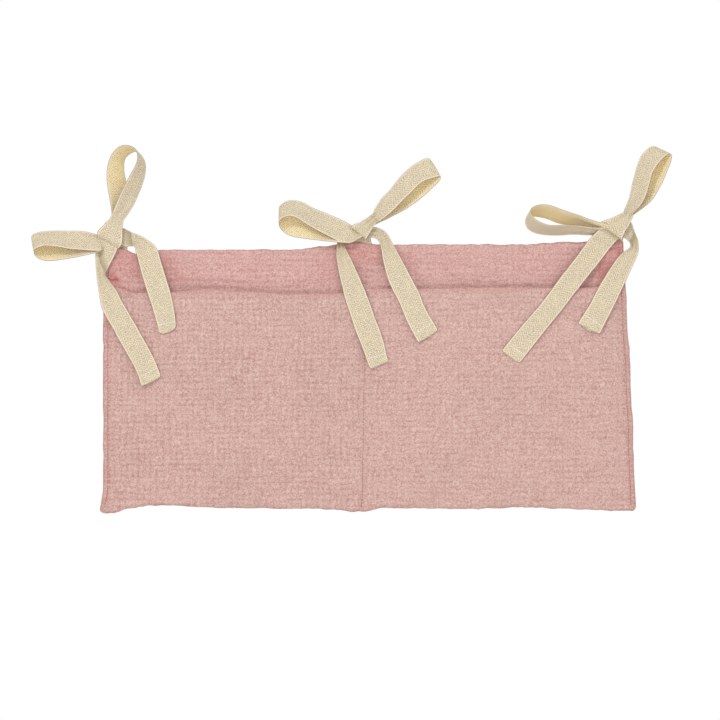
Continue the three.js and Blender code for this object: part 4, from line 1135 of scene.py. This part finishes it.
def thread_look(name, pale, dark):
    """Twisted sewing thread."""
    n = Nodes(bpy.data.materials.new(name))
    place = n.node("TexCoord").outputs["Object"]
    x, y, z = n.node("SeparateXYZ", place).outputs
    twist = n.wave(n.plus(n.plus(x, y), z), TWIST_LENGTH)
    colour = n.mix(n.ramp(twist, -0.8, 0.8), dark, pale)
    height = n.plus(twist, n.noise(place, 2200.0))
    return n.finish(colour, 0.75, sheen=0.1, tint=pale, height=height, distance=BUMP_HEIGHT / 3, strength=0.6)


# The third colour is both the cloth's darker grain and painted shade in the crinkles, the fourth is painted reddish
# shade, and the fifth is both the paler grain and a painted highlight on the puffs.
pocket_look = muslin(
    "muslin", srgb(216, 175, 169), srgb(202, 169, 158), srgb(175, 130, 122), srgb(192, 98, 90), srgb(234, 205, 195)
)
lining_look = muslin(
    "lining_muslin", srgb(220, 175, 170), srgb(207, 167, 159), srgb(179, 128, 122), srgb(192, 96, 90),
    srgb(235, 202, 194),
)
# The third colour is both the twill's darker threads and painted shade in the pleats and along the creases, the
# fourth is painted bounce light on the loops' inner faces, and the fifth is both the tape's flecks and painted shade
# at the outermost edge.
tape_look = herringbone(
    "tape", srgb(225, 213, 188), srgb(209, 195, 166), srgb(174, 157, 123), srgb(255, 238, 186),
    srgb(146, 120, 90), srgb(246, 230, 208),
)
seam_look = thread_look("seam_thread", srgb(172, 120, 112), srgb(136, 88, 82))
tape_thread_look = thread_look("tape_thread", srgb(255, 252, 244), srgb(244, 238, 222))

# Camera
camera_data = bpy.data.cameras.new("camera")
camera_data.sensor_width = SENSOR
camera_data.lens = SENSOR * CAMERA_AWAY / PHOTO_SPAN
camera_data.clip_end = CLIP_END
camera = add_object("camera", camera_data)
camera.location = (SIGHT_X * MM, -CAMERA_AWAY * MM, SIGHT_Z * MM)
camera.rotation_euler = (np.pi / 2, 0, 0)
bpy.context.scene.camera = camera


def dress(obj, look, body=None, nodes=()):
    """Gives a piece its look and its body, and hides the CAD nodes that it stands for."""
    obj.data.materials.append(look)
    if body:
        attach(obj, body)
    if nodes:
        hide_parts(*nodes)


# The cloth
pocket, lining, back = pocket_cloth(), lining_cloth(), back_cloth()
dress(pocket, pocket_look, "caddy", ["pocket_panel"])
dress(lining, lining_look, "caddy", ["back_lining"])
dress(back, pocket_look, "caddy", ["back_panel"])

# Stitches along the seams
for seam, line, from_top in (
    ("left_side", [(0, SEAM_SHARE), (1, SEAM_SHARE)], True),
    ("right_side", [(0, 1 - SEAM_SHARE), (1, 1 - SEAM_SHARE)], True),
    ("divider", DIVIDER, False),
):
    piece = strands(f"{seam}_stitches", dashes(seam_lines(line, from_top), SEAM_GAP), radius=0.3, sag=0.28)
    dress(piece, seam_look, "caddy", [f"{seam}_stitching"])

# The bows
for number, (name, bow) in enumerate(BOWS.items()):
    seed = 100 * (number + 1)
    rows = [edge_row(*row) for row in bow["wrap"]] + loop_rows(bow, "right_loop")
    piece, length, _ = ribbon(f"{name}_right_loop_and_wrap", rows, seed, bounce_light_from=76)
    dress(piece, tape_look, "caddy", [f"{name}_right_loop", f"{name}_knot"])

    piece, length, _ = ribbon(f"{name}_left_loop_tape", loop_rows(bow, "left_loop"), seed + 10, bounce_light_from=29)
    dress(piece, tape_look, "caddy", [f"{name}_left_loop"])

    foot_x, (knot_x, knot_z) = tie_x(bow), from_pixel(*bow["knot"])
    edge_z = float(top_z(across_at(foot_x, 0.0))) + CREST_ROOM
    for strand, turn in (("front", 1), ("back", -1)):
        ahead = turn * (TAPE / 2 + STRAND_GAP)
        seat, behind = LINING_SEAT + TAPE + ahead, KNOT_DEPTH - ROOT_BEHIND - TAPE + ahead
        rows = [(x - share * TAPE_WIDTH / 2, -y, z, x + share * TAPE_WIDTH / 2, -y, z) for x, y, z, share in (
            (foot_x, seat, edge_z - SEAM_HOLD, 1),
            (foot_x, seat, edge_z - SEAM_HOLD / 2, 1),
            (foot_x, seat, edge_z, 0.92),
            ((foot_x + knot_x) / 2 + turn * 1.2, behind, edge_z + ROOT_RISE, 0.55),
            (knot_x, behind + 1.0, knot_z + 2, 0.45),
        )]
        piece, length, _ = ribbon(f"{name}_{strand}_root_strand", rows, seed + 20 + turn)
        dress(piece, tape_look, "caddy", [f"{name}_tie_root"])

    for right, side in enumerate(("left", "right")):
        body, tail = f"{name}_{side}_tail", bow[f"{side}_tail"]
        joint = next(j for j in frame["joints"] if j["child"] == body)
        hinge = Vector(joint["pos_m"])
        run = Vector(joint["axis"]).cross(Vector((0, -1, 0)))
        run = run if run.z < 0 else -run
        piece, length, front = ribbon(
            f"{body}_tape", tail_rows(tail, hinge.z / MM), seed + 30 + 5 * right, step=TAIL_STEP, hem=TAIL_HEM,
            columns=TAIL_COLUMNS, round_end=tail.get("round_end", 1.5), creases=tail.get("creases", ()),
        )
        from_end = int(round((TAIL_HEM - HEM_THREAD) / TAIL_STEP))
        hem_line = front[len(front) - 1 - from_end, 2:-2:3] + np.array([0, -0.2, 0])
        sewn = strands(f"{body}_hem_stitches", dashes([hem_line], HEM_GAP), radius=0.55, sag=0.1)
        dress(sewn, tape_thread_look, body, [f"{body}_stitching"])
        if tail.get("frayed"):
            frayed = strands(f"{body}_frayed_threads", frays(front, seed), radius=0.3, sag=0.15)
            dress(frayed, tape_look, body)
        dress(piece, tape_look, nodes=[body])
        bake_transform(piece)

# Floor, background and lamps
floor_mesh = bpy.data.meshes.new("floor")
floor_mesh.from_pydata(
    [(x * FLOOR_REACH, y * FLOOR_REACH, FLOOR_LEVEL) for x, y in ((-1, -1), (1, -1), (1, 1), (-1, 1))], [],
    [(0, 1, 2, 3)],
)
floor = add_object("floor", floor_mesh)
floor_mesh.materials.append(Nodes(bpy.data.materials.new("floor")).finish(srgb(246, 246, 245), 0.9))

world = bpy.data.worlds.new("world")
bpy.context.scene.world = world
n = Nodes(world)
rays = n.node("LightPath").outputs
indirect = n.math("MAXIMUM", rays["Is Glossy Ray"], rays["Is Transmission Ray"])
seen = n.math("MAXIMUM", rays["Is Camera Ray"], indirect)
background = n.tree.nodes["Background"].inputs
background["Color"].default_value = (1, 1, 1, 1)
n.link(n.ramp(seen, 0.0, 1.0, ROOM_LIGHT), background["Strength"])

for name, place, size, power in (
    ("key", (-1.0, -2.5, 1.4), 0.5, 22.5), ("fill", (1.6, -2.4, 0.4), 1.6, 5),
    ("bounce", (0.4, -2.5, -0.6), 1.2, 5), ("rear", (1.0, 2.4, 1.2), 1.6, 6),
):
    data = bpy.data.lights.new(name, "AREA")
    data.shape = "DISK"
    data.size = size
    data.energy = power
    lamp = add_object(name, data)
    lamp.location = place
    lamp.rotation_euler = (Vector(LAMP_TARGET) - Vector(place)).to_track_quat("-Z", "Y").to_euler()

bpy.context.scene.view_settings.view_transform = "Standard"
